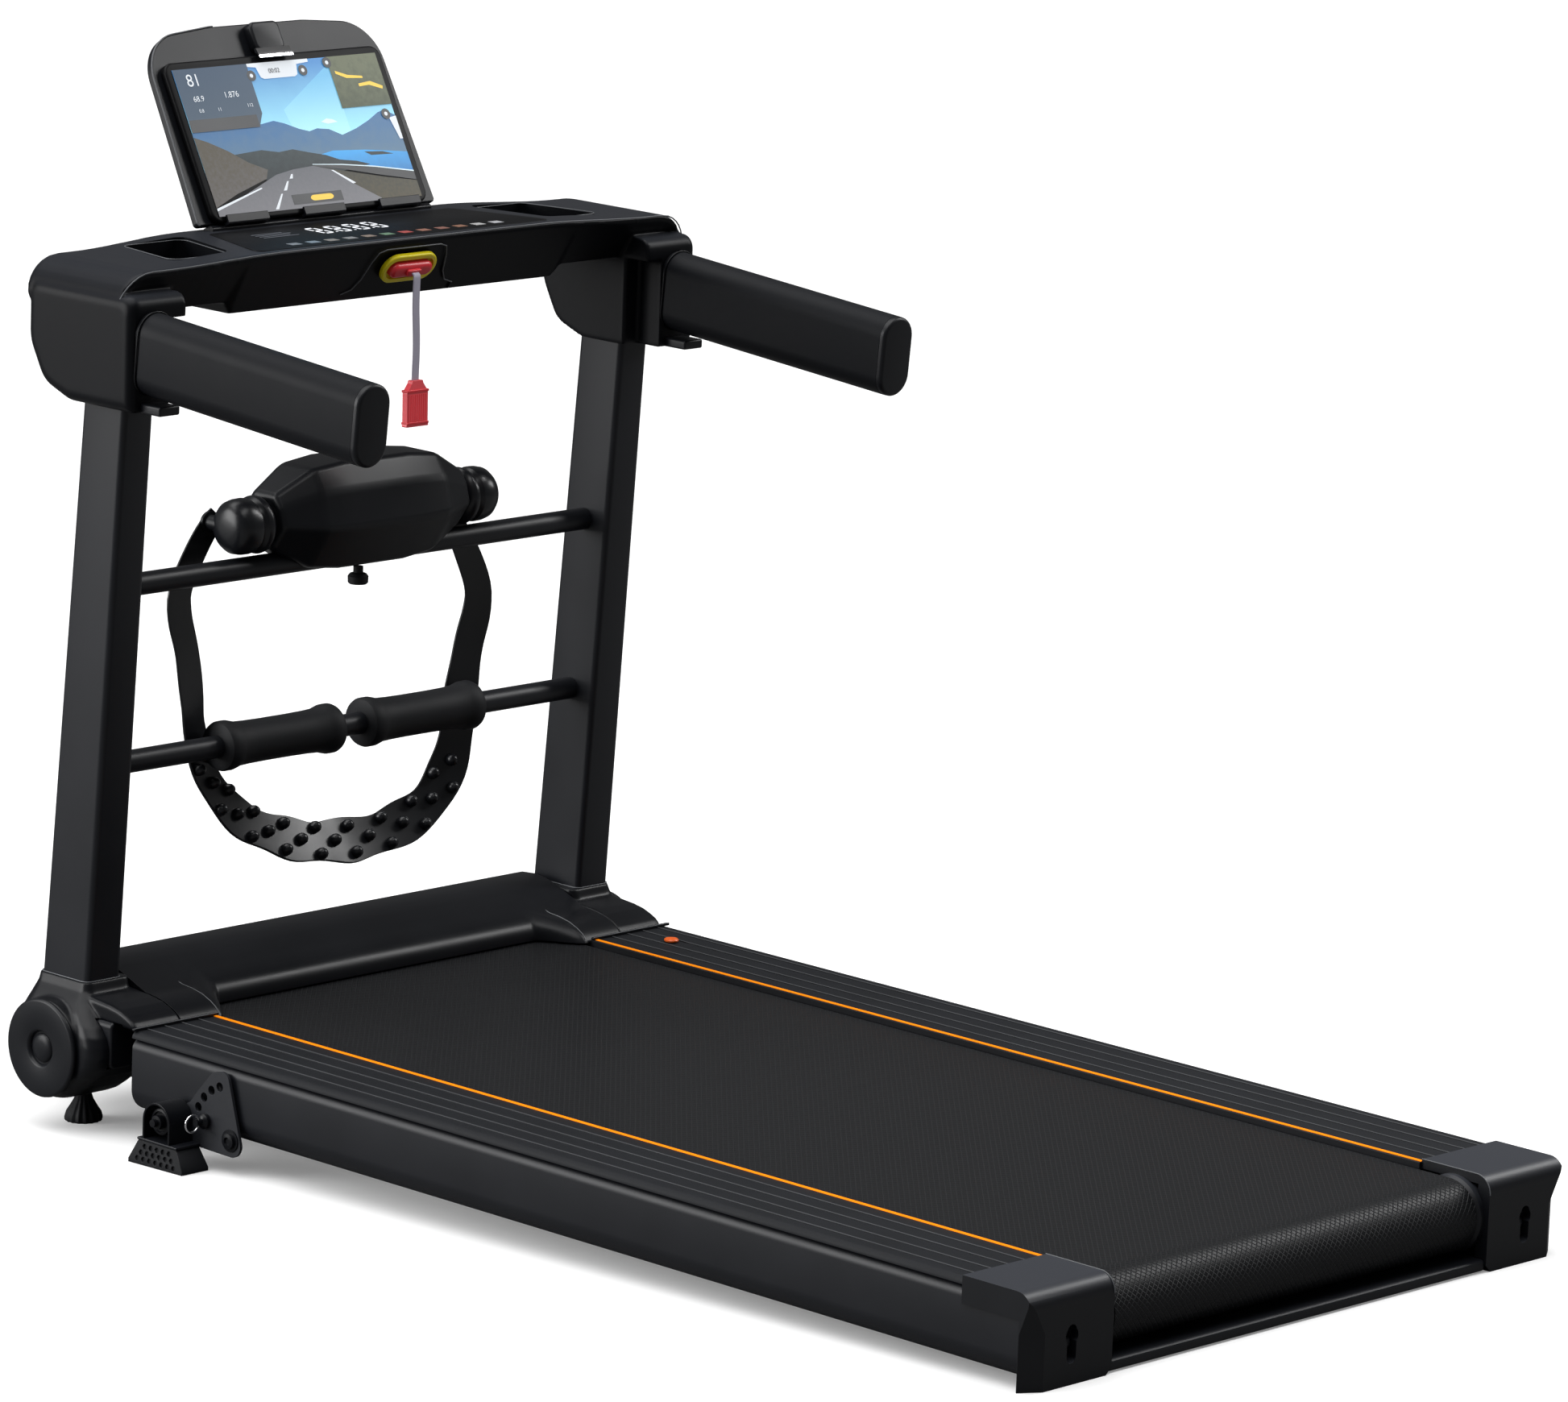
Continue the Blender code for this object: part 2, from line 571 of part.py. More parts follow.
def hood_section(wing, inset):
    """Fore-and-aft outline of the hood, from its rear lip over the top and back along its foot."""
    lip = HOOD_LIP - (0.020 if inset else 0.0)
    foot = -0.066 if inset else -0.060
    skirt_rear = 1.130 if inset else 1.142
    rear = []
    for (nose_y, nose_z), (wing_y, wing_z) in zip(NOSE_PROFILE, WING_PROFILE):
        y = nose_y + (wing_y - nose_y) * wing
        z = nose_z + (wing_z - nose_z) * wing
        rear.append((y + inset, z - inset))
    rear[0] = (rear[0][0], lip)
    crest = [(y, z - inset) for y, z in CREST_PROFILE]
    front = [(1.190, 0.0365 - inset), (1.220 - inset, 0.020 - inset),
             (1.244 - inset, -0.006 - inset), (1.2525 - inset, -0.026), (1.2500 - inset, -0.036),
             (1.236 - inset, foot), (skirt_rear, foot), (skirt_rear, lip)]
    return rear + crest + front


def hood_rings(half, inset):
    rings = []
    stops = (-half, -0.262, -WING_INNER, -0.222, -0.205, 0.205, 0.222, WING_INNER, 0.262, half)
    for x in stops:
        share = min(1.0, max(0.0, (abs(x) - 0.205) / (WING_INNER - 0.205)))
        wing = share * share * (3 - 2 * share)
        rings.append([(x, y, z) for y, z in hood_section(wing, inset)])
    return rings


def build_hood(machine):
    hood = solid("motor_hood", loft(hood_rings(HOOD_HALF, 0.0)), "black_plastic", machine)
    trim(hood, loft(hood_rings(HOOD_HALF - HOOD_WALL, HOOD_WALL)))
    trim(hood, box(0.1496, 0.1904, 1.235, 1.260, -0.0354, -0.0046))
    trim(hood, box(0.1046, 0.1304, 1.235, 1.260, -0.0354, -0.0126))
    inlet = solid("power_inlet", box(0.150, 0.190, 1.2265, 1.2535, -0.035, -0.005), "black_plastic", machine)
    trim(inlet, box(0.155, 0.185, 1.234, 1.258, -0.030, -0.010))
    rocker = [(1.240, -0.0345), (1.2525, -0.0335), (1.2500, -0.024), (1.2535, -0.0145), (1.240, -0.0135)]
    solid("power_switch", extrude(rocker, "X", 0.106, 0.129), "red", machine, (0.1175, 1.244, -0.024))


# ---------------------------------------------------------------- uprights

def post_ring(share, extra):
    """Cross-section of an upright, share of the way up, grown by extra."""
    width = POST_FOOT_SIZE[0] + (POST_HEAD_SIZE[0] - POST_FOOT_SIZE[0]) * share + 2 * extra
    depth = POST_FOOT_SIZE[1] + (POST_HEAD_SIZE[1] - POST_FOOT_SIZE[1]) * share + 2 * extra
    y = POST_FOOT[0] + (POST_HEAD[0] - POST_FOOT[0]) * share
    z = POST_FOOT[1] + (POST_HEAD[1] - POST_FOOT[1]) * share
    outline = rectangle(-width / 2, width / 2, y - depth / 2, y + depth / 2, POST_CURVE + extra, 4)
    return [(a, b, z) for a, b in outline]


def moved(rings, x):
    return [[(a + x, b, c) for a, b, c in ring] for ring in rings]


def build_uprights(lift):
    for side, word in SIDES:
        outer = moved([post_ring(share, 0.0) for share in (0.0, 1.0)], side * POST_X)
        inner = moved([post_ring(share, -POST_WALL) for share in (0.0, 1.0)], side * POST_X)
        post = solid(f"upright_{word}", tube(outer, inner), "black_metal", lift)
        for y, z in (UPPER_BAR, LOWER_BAR):
            radius = BAR_RADIUS + GAP
            trim(post, lathe(((radius, side * 0.275), (radius, side * 0.308)), "X", (y, z), 20))
    for name, (y, z) in (("upper_crossbar", UPPER_BAR), ("lower_crossbar", LOWER_BAR)):
        bar = lathe(((BAR_RADIUS, -0.3035), (BAR_RADIUS, 0.3035)), "X", (y, z), 20)
        solid(name, bar, "black_metal", lift)


def build_hinges(lift):
    for side, word in SIDES:
        profile = [(0.0, DRUM_INNER), (DRUM_RADIUS, DRUM_INNER), (DRUM_RADIUS, DRUM_OUTER - 0.005),
                   (DRUM_RADIUS - 0.002, DRUM_OUTER - 0.0015), (DRUM_RADIUS - 0.005, DRUM_OUTER),
                   (0.0, DRUM_OUTER)]
        drum = lathe([(r, side * x) for r, x in profile], "X", (HINGE_Y, HINGE_Z), 32)
        shroud = solid(f"hinge_shroud_{word}", drum, "black_plastic", lift)
        levels = []
        for z, rear, front, far, corner in HOUSING_LEVELS:
            outline = rectangle(*sorted((side * DRUM_INNER, side * far)), rear, front, corner, 4)
            levels.append([(a, b, z) for a, b in outline])
        join(shroud, loft(levels))
        toe = list(WING_PROFILE) + [(1.1300, 0.0200), (1.1300, HOOD_LIP)]
        join(shroud, cushioned(toe, "X", side * DRUM_INNER, side * 0.3450, 0.004, 3))
        pocket = moved([post_ring(share, GAP) for share in (-0.004, 0.5)], side * POST_X)
        trim(shroud, loft(pocket))
        if side == LEFT:
            trim(shroud, box(-0.3486, -0.3184, 1.070, 1.1240, -0.0446, 0.0016))
        cap = [(0.0, DISC_REAR), (DISC_RADIUS - 0.002, DISC_REAR), (DISC_RADIUS, DISC_REAR + 0.0015),
               (DISC_RADIUS, DISC_FACE - 0.0018), (DISC_RADIUS - 0.0015, DISC_FACE), (0.0182, DISC_FACE),
               (0.0163, 0.3702), (0.0156, 0.3683), (0.0136, 0.3683), (0.0110, 0.3694), (0.0060, 0.3704),
               (0.0, 0.3706)]
        solid(f"hinge_cap_{word}", lathe([(r, side * x) for r, x in cap], "X", (HINGE_Y, HINGE_Z), 32),
              "black_plastic", lift)
    latch = box(-0.3480, -0.3190, 1.0825, 1.1170, -0.0440, 0.0010)
    bevel_edges(latch, 0.005, 3, lambda co: co.y < 1.0835)
    solid("fold_latch", latch, "black_plastic", lift, (-0.3335, 1.117, -0.0215))


def build_levelling_feet(lift):
    ground = floor_height(LEVELLER_Y)
    for side, word in SIDES:
        profile = [(0.0, 0.0), (0.0175, 0.0), (0.0180, 0.0035), (0.0165, 0.0085), (0.0120, 0.0150),
                   (0.0085, 0.0220), (0.0070, 0.0258), (0.0036, 0.0258), (0.0036, 0.0460), (0.0, 0.0460)]
        foot = solid(f"levelling_foot_{word}", lathe(profile, "Z", (0, 0), 20), "rubber", lift)
        foot.location = (side * LEVELLER_X, LEVELLER_Y - HINGE_Y, ground - HINGE_Z)
        foot.rotation_euler = (-DECK_SLOPE, 0, 0)
        bore = lathe(((0.0055, -0.0900), (0.0055, -0.0600)), "Z", (side * LEVELLER_X, LEVELLER_Y), 14)
        trim(bpy.data.objects[f"hinge_shroud_{word}"], bore)


# ---------------------------------------------------------------- console

def beam_section(x):
    """Console cross-section: flat on top, rounded over towards its two ends."""
    reach = abs(x)
    share = min(1.0, max(0.0, (reach - 0.165) / 0.150))
    droop = share * share * (3 - 2 * share)
    over = max(0.0, reach - CONSOLE_HALF + END_CURVE)
    fall = END_CURVE - math.sqrt(END_CURVE ** 2 - min(over, END_CURVE) ** 2)
    tuck = fall * 0.25
    top = CONSOLE_TOP - 0.005 * droop - fall
    step = min(1.0, max(0.0, (reach - 0.207) / 0.022))
    foot = FACE_FOOT[1] + 0.012 * step
    rear_y = FACE_TOP[0] + tuck
    foot_y = FACE_FOOT[0] - 0.004 * step + tuck * 0.3
    front_y = 1.222 - 0.012 * droop - tuck
    rear = [(foot_y + 0.003, foot), (foot_y, foot + 0.002), (rear_y, top - 0.006),
            (rear_y + 0.0015, top - 0.0015), (rear_y + 0.0060, top)]
    front = [(front_y - 0.016, top - 0.0005), (front_y - 0.003, top - 0.005),
             (front_y, top - 0.010), (front_y - 0.004, foot + 0.004), (front_y - 0.030, foot)]
    return rear + front


def glass_outline(extra):
    """Display outline, wider towards the runner."""
    wide = GLASS_REAR_HALF + extra
    narrow = GLASS_FRONT_HALF + extra
    rear = GLASS_REAR - extra
    front = GLASS_FRONT + extra
    corners = [(-wide, rear), (wide, rear), (narrow, front), (-narrow, front)]
    return rounded(corners, [0.0077 + extra] * 4, 3)


def build_console(lift):
    stations = [i * 0.0225 for i in range(15)] + [0.3270, 0.3380, 0.3470, 0.3540, 0.3595, 0.3635]
    stations = [-x for x in reversed(stations[1:])] + stations
    rings = [[(x, y, z) for y, z in beam_section(x)] for x in stations]
    console = solid("console_housing", loft(rings), "black_plastic", lift)
    for side, _ in SIDES:
        cheek = rounded([(1.0560, CHEEK_BOTTOM), (1.0560, CHEEK_TOP), (1.2010, CHEEK_TOP), (1.2010, 0.6300),
                         (1.1800, 0.5920), (1.1450, CHEEK_BOTTOM)], (0.002, 0.012, 0.010, 0.040, 0.030, 0.020), 5)
        join(console, cushioned(cheek, "X", side * CHEEK_INNER, side * CONSOLE_HALF, 0.009))
        notch = sorted((side * 0.2800, side * CHEEK_NOTCH))
        trim(console, box(*notch, 1.0400, 1.0860, 0.5600, FACE_FOOT[1] + 0.012))
    for side, _ in SIDES:
        post = moved([post_ring(share, GAP) for share in (0.85, 1.004)], side * POST_X)
        trim(console, loft(post))
        tray = rounded([(side * a, b) for a, b in TRAY_CORNERS], (0.010, 0.010, 0.010, 0.010), 3)
        trim(console, extrude(tray, "Z", TRAY_FLOOR, 0.740))
        socket = [(a, z) for a, z in stadium(HANDLE_WIDTH + 2 * GAP, HANDLE_HEIGHT + 2 * GAP)]
        mesh = extrude(socket, "Y", -0.200, 0.0 + GAP)
        bmesh.ops.rotate(mesh, verts=mesh.verts, matrix=Matrix.Rotation(HANDLE_TILT, 3, "X"))
        bmesh.ops.translate(mesh, verts=mesh.verts, vec=(side * HANDLE_X, *HANDLE_ROOT))
        trim(console, mesh)
    glass = glass_outline(0.0)
    trim(console, extrude(glass_outline(GAP), "Z", CONSOLE_TOP - 0.0030, 0.730))
    solid("console_glass", extrude(glass, "Z", CONSOLE_TOP - 0.0027, CONSOLE_TOP + 0.0006), "glass", lift)


def build_safety_key(lift):
    """Yellow socket on the console's rear face with the red key, its strap and its clothes clip."""
    lean = math.atan2(FACE_FOOT[0] - FACE_TOP[0], FACE_TOP[1] - FACE_FOOT[1])
    middle = Vector((0, 1.0805, 0.683))
    outward = Vector((0, -math.cos(lean), -math.sin(lean)))
    plate = middle + outward * 0.0006
    turn = (lean, 0, 0)
    oblong = [(b, a) for a, b in stadium(0.031, 0.068, 8)]
    recess = [(b, a) for a, b in stadium(0.020, 0.058, 8)]
    ring = hollow(oblong, recess, "Y", -0.0050, 0.0)
    socket = solid("safety_socket", ring, "yellow", lift)
    join(socket, extrude(oblong, "Y", -0.0012, 0.0))
    key_outline = [(b, a) for a, b in stadium(0.0150, 0.0530, 6)]
    key = solid("safety_key", cushioned(key_outline, "Y", -0.0016, -0.0100, 0.003, 2), "red", lift)
    for item in (socket, key):
        item.rotation_euler = turn
        item.location = plate
    for helper in [item for item in bpy.data.objects if item.name.startswith("safety_socket_helper")]:
        helper.rotation_euler = turn
        helper.location = plate
    hang = key_exit(plate, outward)
    strap = bpy.data.curves.new("lanyard", "CURVE")
    strap.dimensions = "3D"
    strap.bevel_depth = LANYARD_RADIUS
    strap.bevel_resolution = 2
    strap.use_fill_caps = True
    strap.resolution_u = 1
    strap.render_resolution_u = 0
    spline = strap.splines.new("POLY")
    points = lanyard_points(hang)
    spline.points.add(len(points) - 1)
    for target, point in zip(spline.points, points):
        target.co = (*point, 1.0)
    strap.materials.append(MATERIALS["webbing"])
    item = bpy.data.objects.new("lanyard", strap)
    item.parent = lift
    bpy.context.scene.collection.objects.link(item)
    end = Vector(points[-1])
    outline = [(-0.009, 0.0), (-0.0150, -0.010), (-0.0150, -0.044), (0.0150, -0.044), (0.0150, -0.010),
               (0.009, 0.0)]
    clip = solid("key_clip", extrude(outline, "Y", -0.004, 0.004), "red", lift)
    clip.location = end + Vector((0, 0, -GAP))
    clip.rotation_euler = (-DECK_SLOPE, 0, 0)




def key_exit(plate, outward):
    return plate + outward * 0.0112


def lanyard_points(start):
    """Strap that leaves the key, bends down and hangs plumb."""
    reach = 0.0045
    points = [start + Vector((0, 0.0, 0.0))]
    for step in range(1, 6):
        angle = math.radians(90 * step / 5)
        points.append(start + Vector((0, -reach * math.sin(angle), -reach * (1 - math.cos(angle)))))
    base = points[-1]
    drop = LANYARD_LENGTH - reach * math.pi / 2
    for step in range(1, 15):
        fall = drop * step / 14
        points.append(base + Vector((0, -fall * math.sin(DECK_SLOPE), -fall * math.cos(DECK_SLOPE))))
    return points


def build_handlebars(lift):
    for side, word in SIDES:
        outer = stadium(HANDLE_WIDTH, HANDLE_HEIGHT)
        inner = stadium(HANDLE_WIDTH - 0.006, HANDLE_HEIGHT - 0.006)
        bar = solid(f"handlebar_{word}", hollow(outer, inner, "Y", -HANDLE_LENGTH, 0.0), "soft_black", lift)
        end = -HANDLE_LENGTH - GAP
        cap_mesh = cushioned(stadium(HANDLE_WIDTH, HANDLE_HEIGHT), "Y", end, end - 0.0062, 0.0035, 2)
        cap = solid(f"handlebar_cap_{word}", cap_mesh, "black_plastic", lift)
        for item in (bar, cap):
            item.location = (side * HANDLE_X, HANDLE_ROOT[0] - HINGE_Y, HANDLE_ROOT[1] - HINGE_Z)
            item.rotation_euler = (HANDLE_TILT, 0, 0)


# ---------------------------------------------------------------- tablet holder

def build_tablet_holder(holder):
    """Panel drawn in the holder's frame: X across, Z up the panel, Y out of its back."""
    shoulder = HOLDER_HEIGHT - 0.004
    crown = HOLDER_HEIGHT + 0.004
    arch = [(-HOLDER_FOOT_HALF, PANEL_FOOT), (HOLDER_FOOT_HALF, PANEL_FOOT), (HOLDER_HEAD_HALF, shoulder),
            (0.060, crown), (-0.060, crown), (-HOLDER_HEAD_HALF, shoulder)]
    outline = rounded(arch, (0.004, 0.004, 0.045, 0.10, 0.10, 0.045), 5)
    panel_mesh = extrude(outline, "Y", 0.0, HOLDER_THICK)
    panel = solid("tablet_panel", panel_mesh, "black_plastic", holder)
    notch = extrude(rectangle(-0.0075, 0.0075, 0.1670, 0.240, 0.003, 3), "Y", -0.004, HOLDER_THICK + 0.004)
    trim(panel, notch)
    for offset in LIP_OFFSETS:
        lip = [(0.0010, -0.0004), (-0.0004, -0.0045), (-0.0105, -0.0045), (-0.0112, -0.0035),
               (-0.0112, 0.0050), (-0.0085, 0.0050), (-0.0085, -0.0015), (-0.0004, -0.0015), (0.0010, 0.0020)]
        join(panel, extrude(lip, "X", offset - 0.026, offset + 0.026))
    face = rectangle(-TABLET_HALF, TABLET_HALF, TABLET_FOOT, TABLET_FOOT + TABLET_HEIGHT, 0.011, 4)
    tablet = extrude(face, "Y", -0.0004 - TABLET_THICK, -0.0004)
    solid("tablet", tablet, "glass", holder)
    top = TABLET_FOOT + TABLET_HEIGHT
    block = rectangle(-0.0185, 0.0185, top + 0.004, top + 0.033, 0.005, 3)
    clip_body = extrude(block, "Y", -0.0105, -0.0004)
    clip = solid("tablet_clip", clip_body, "black_plastic", holder, (0, 0, top))
    tongue = rectangle(-0.0070, 0.0070, top + 0.0145, top + 0.029, 0.002, 2)
    join(clip, extrude(tongue, "Y", -0.002, HOLDER_THICK))
    hook = [(-0.0095, top + 0.0010), (-0.0095, top + 0.0055), (-0.0125, top + 0.0055),
            (-0.0135, top - 0.0050), (-0.0080, top - 0.0050), (-0.0080, top + 0.0010)]
    join(clip, extrude(hook, "X", -0.0215, 0.0215))
    join(clip, box(-0.0180, 0.0180, -0.0105, -0.0080, top + 0.0010, top + 0.0080))


# ---------------------------------------------------------------- massager

def build_massager(lift):
    x_mid, y_mid, z_mid = MASSAGER
    stations = ((-DRUM_START, 0.030, 0.024), (-0.080, 0.046, 0.048), (-0.040, 0.050, 0.052),
                (0.040, 0.050, 0.052), (0.080, 0.046, 0.048), (DRUM_START, 0.030, 0.024))
    rings = []
    for x, depth, height in stations:
        corners = [(-depth, -0.15 * height), (-0.45 * depth, -height), (0.45 * depth, -height),
                   (depth, -0.15 * height), (0.80 * depth, 0.55 * height), (0.50 * depth, height),
                   (-0.50 * depth, height), (-0.80 * depth, 0.55 * height)]
        rings.append([(x_mid + x, y_mid + a, z_mid + b) for a, b in corners])
    body = solid("massager_body", loft(rings), "black_plastic", lift)
    saddle = lathe(((BAR_RADIUS + GAP, -0.14), (BAR_RADIUS + GAP, 0.14)), "X", UPPER_BAR, 20)
    trim(body, saddle)
    reach = BAR_RADIUS + GAP
    trim(body, box(-0.14, 0.14, UPPER_BAR[0] - reach, UPPER_BAR[0] + reach, 0.380, UPPER_BAR[1]))
    for side, word in SIDES:
        profile = [(0.0, DRUM_START + 0.0004), (0.020, DRUM_START + 0.0004), (0.020, 0.1280), (0.0265,
                   0.1300),
                   (0.0275, 0.1340), (0.0255, 0.1380), (0.0240, 0.1420), (0.0265, 0.1450), (0.0265, 0.1560),
                   (0.0235, 0.1640), (0.0120, DRUM_END - 0.002), (0.0, DRUM_END - 0.002)]
        drum = lathe([(r, side * x) for r, x in profile], "X", (y_mid, z_mid - 0.003), 18)
        solid(f"massager_drum_{word}", drum, "soft_black", lift, (side * DRUM_START, y_mid, z_mid - 0.003))
    knob = [(0.0, 0.3540), (0.0090, 0.3540), (0.0100, 0.3560), (0.0100, 0.3640), (0.0045, 0.3680),
            (0.0045, 0.3860), (0.0, 0.3860)]
    solid("clamp_knob", lathe(knob, "Z", (0.0, 1.135), 16), "black_plastic", lift, (0.0, 1.135, 0.370))


def massage_belt_half():
    """Centre line of the left half of the massage belt, with the width at each point."""
    return [(-0.1655, 0.440, 0.024), (-0.182, 0.395, 0.028), (-0.1985, 0.356, 0.028),
            (-0.188, 0.300, 0.028), (-0.178, 0.250, 0.030), (-0.170, 0.215, 0.040),
            (-0.152, 0.175, 0.046), (-0.115, 0.137, 0.046), (-0.060, 0.116, 0.046), (0.0, 0.110, 0.046)]


def build_massage_belt(lift):
    half = massage_belt_half()
    line = half + [(-x, z, width) for x, z, width in reversed(half[:-1])]
    rings = []
    for index, (x, z, width) in enumerate(line):
        before = line[max(0, index - 1)]
        after = line[min(len(line) - 1, index + 1)]
        along = Vector((after[0] - before[0], after[1] - before[1])).normalized()
        across = Vector((-along.y, along.x)) * width / 2
        shear = MASSAGE_BELT_SHEAR
        ring = []
        for reach, y in ((1, -0.0015), (1, 0.0015), (-1, 0.0015), (-1, -0.0015)):
            px = x + across.x * reach
            pz = z + across.y * reach + shear * x
            ring.append((px, MASSAGE_BELT_Y + y, pz))
        rings.append(ring)
    solid("massage_belt", loft(rings), "rubber", lift, (0, MASSAGE_BELT_Y, 0.440))


def build_foam_rollers(lift):
    y, z = LOWER_BAR
    for side, word in SIDES:
        low, high = ROLLER_ENDS
        bore = BAR_RADIUS + 0.0004
        mid = (low + high) / 2
        shape = [(0.0190, low), (0.0225, low + 0.004), (0.0225, low + 0.012), (0.0195, low + 0.030),
                 (0.0180, mid), (0.0195, high - 0.030), (0.0225, high - 0.012), (0.0225, high - 0.004),
                 (0.0190, high)]
        outer = [[on_axis("X", pair, side * x) for pair in arc((y, z), r, 0, 340, 17)] for r, x in shape]
        inner = [[on_axis("X", pair, side * x) for pair in arc((y, z), bore, 0, 340, 17)] for _, x in shape]
        solid(f"foam_roller_{word}", tube(outer, inner), "soft_black", lift, (side * mid, y, z))


# ---------------------------------------------------------------- incline legs

def build_incline_legs(machine):
    pivot_y, pivot_z = LEG_PIVOT
    for side, word in SIDES:
        near = side * LEG_PLATE
        far = side * (LEG_PLATE + 0.003)
        outline = rounded(LEG_OUTLINE, (0.012, 0.010, 0.012, 0.020, 0.012, 0.004, 0.004), 4)
        leg = solid(f"incline_leg_{word}", extrude(outline, "X", *sorted((near, far))), "black_metal",
                    machine, (near, pivot_y, pivot_z))
        for degrees in LEG_HOLE_ANGLES:
            angle = math.radians(degrees)
            spot = (pivot_y + LEG_HOLE_RADIUS * math.cos(angle), pivot_z + LEG_HOLE_RADIUS * math.sin(angle))
            trim(leg, lathe(((0.0036, side * 0.350), (0.0036, side * 0.360)), "X", spot, 12))
        angle = math.radians(PIN_ANGLE)
        pin_spot = (pivot_y + PIN_RADIUS * math.cos(angle), pivot_z + PIN_RADIUS * math.sin(angle))
        trim(leg, lathe(((0.0038, side * 0.350), (0.0038, side * 0.360)), "X", pin_spot, 12))
        inner_face = side * (LEG_PLATE + 0.002)
        outer_face = side * (PAD_OUTER - 0.002)
        arch = [(WHEEL_Y - ARCH_OUTER, -0.0845)] + arc((WHEEL_Y, WHEEL_Z), ARCH_OUTER, 180, 0, 10)
        arch += [(WHEEL_Y + ARCH_OUTER, -0.0845), (WHEEL_Y + ARCH_INNER, -0.0845)]
        arch += arc((WHEEL_Y, WHEEL_Z), ARCH_INNER, 0, 180, 10) + [(WHEEL_Y - ARCH_INNER, -0.0845)]
        join(leg, extrude(arch, "X", *sorted((inner_face, outer_face))))
        join(leg, box(inner_face, outer_face, PAD_MIDDLE - 0.026, PAD_MIDDLE + 0.026, -0.0860, -0.0835))
        bolt = [(0.0, 0.3552), (0.0085, 0.3552), (0.0085, 0.3595), (0.0050, 0.3605), (0.0, 0.3605)]
        join(leg, lathe([(r, side * x) for r, x in bolt], "X", LEG_PIVOT, 16))

        wheel = [(0.0, 0.3575), (0.0040, 0.3575), (0.0040, 0.3600), (WHEEL_RADIUS - 0.001, 0.3600),
                 (WHEEL_RADIUS, 0.3612), (WHEEL_RADIUS, 0.3785), (WHEEL_RADIUS - 0.001, 0.3800),
                 (0.0065, 0.3800), (0.0065, 0.3845), (0.0036, 0.3845), (0.0036, 0.3895), (0.0, 0.3895)]
        solid(f"leg_wheel_{word}", lathe([(r, side * x) for r, x in wheel], "X", (WHEEL_Y, WHEEL_Z), 16),
              "soft_black", machine, (near, WHEEL_Y, WHEEL_Z))

        rings = []
        for half_y, half_x, rise in ((0.0370, 0.0165, 0.0), (0.0370, 0.0165, 0.003), (0.0260, 0.0140, None)):
            ring = []
            for turn_x, turn_y in ((-1, -1), (1, -1), (1, 1), (-1, 1)):
                x = side * (PAD_OUTER + PAD_INNER) / 2 + turn_x * half_x
                y = PAD_MIDDLE + turn_y * half_y
                z = PAD_TOP if rise is None else floor_height(y) + rise
                ring.append((x, y, z))
            rings.append(ring)
        solid(f"foot_pad_{word}", loft(rings), "rubber", machine)

        pin = [(0.0, 0.3506), (0.0034, 0.3506), (0.0034, 0.3566), (0.0070, 0.3566), (0.0070, 0.3610),
               (0.0034, 0.3625), (0.0034, 0.3690), (0.0, 0.3690)]
        pull = solid(f"pull_pin_{word}", lathe([(r, side * x) for r, x in pin], "X", pin_spot, 10),
                     "steel", machine, (near, *pin_spot))
        join(pull, ring_loop((side * 0.3745, *pin_spot), 0.0075, 0.0013))


def ring_loop(centre, radius, wire):
    """Small wire ring standing in the X-Z plane."""
    mesh = bmesh.new()
    rings = []
    for step in range(12):
        angle = 2 * math.pi * step / 12
        ring = []
        for turn in range(5):
            around = 2 * math.pi * turn / 5
            reach = radius + wire * math.cos(around)
            ring.append(mesh.verts.new((centre[0] + reach * math.cos(angle),
                                        centre[1] + wire * math.sin(around),
                                        centre[2] + reach * math.sin(angle))))
        rings.append(ring)
    for index, ring in enumerate(rings):
        following = rings[(index + 1) % len(rings)]
        for turn in range(5):
            after = (turn + 1) % 5
            mesh.faces.new((ring[turn], ring[after], following[after], following[turn]))
    bmesh.ops.recalc_face_normals(mesh, faces=mesh.faces)
    return mesh


# ---------------------------------------------------------------- assembly

def centre_on_origin(machine):
    """Slide the machine fore and aft until its box is centred on the origin."""
    bpy.context.view_layer.update()
    graph = bpy.context.evaluated_depsgraph_get()
    low, high = math.inf, -math.inf
    for item in bpy.data.objects:
        if item.type not in {"MESH", "CURVE"} or item.hide_render:
            continue
        evaluated = item.evaluated_get(graph)
        mesh = evaluated.to_mesh()
        for vert in mesh.vertices:
            y = (item.matrix_world @ vert.co).y
            low = min(low, y)
            high = max(high, y)
        evaluated.to_mesh_clear()
    machine.location.y -= (low + high) / 2
    bpy.context.view_layer.update()


def main():
    machine = empty("machine", (0, 0, FLOOR_AT_ORIGIN), None, (DECK_SLOPE, 0, 0))
    lift = empty("fold_axis", (0, HINGE_Y, HINGE_Z), machine)
    build_rails(machine)
    height = build_walking_surface(machine)
    build_rollers(machine, height)
    build_drive(machine, height)
    build_deck_frame(machine)
    build_end_caps(machine, height)
    build_port_plug(machine)
    build_hood(machine)
    build_incline_legs(machine)
    uprights = empty("uprights_frame", (0, -HINGE_Y, -HINGE_Z), lift)
    build_uprights(uprights)
    build_hinges(uprights)
    build_levelling_feet(lift)
    build_console(uprights)
    build_safety_key(uprights)
    build_handlebars(lift)
    holder = empty("holder_hinge", (0, HOLDER_HINGE[0], HOLDER_HINGE[1]), uprights, (-HOLDER_LEAN, 0, 0))
    build_tablet_holder(holder)
    build_massager(uprights)
    build_massage_belt(uprights)
    build_foam_rollers(uprights)
    centre_on_origin(machine)


clear_scene()
MATERIALS = make_materials()
main()
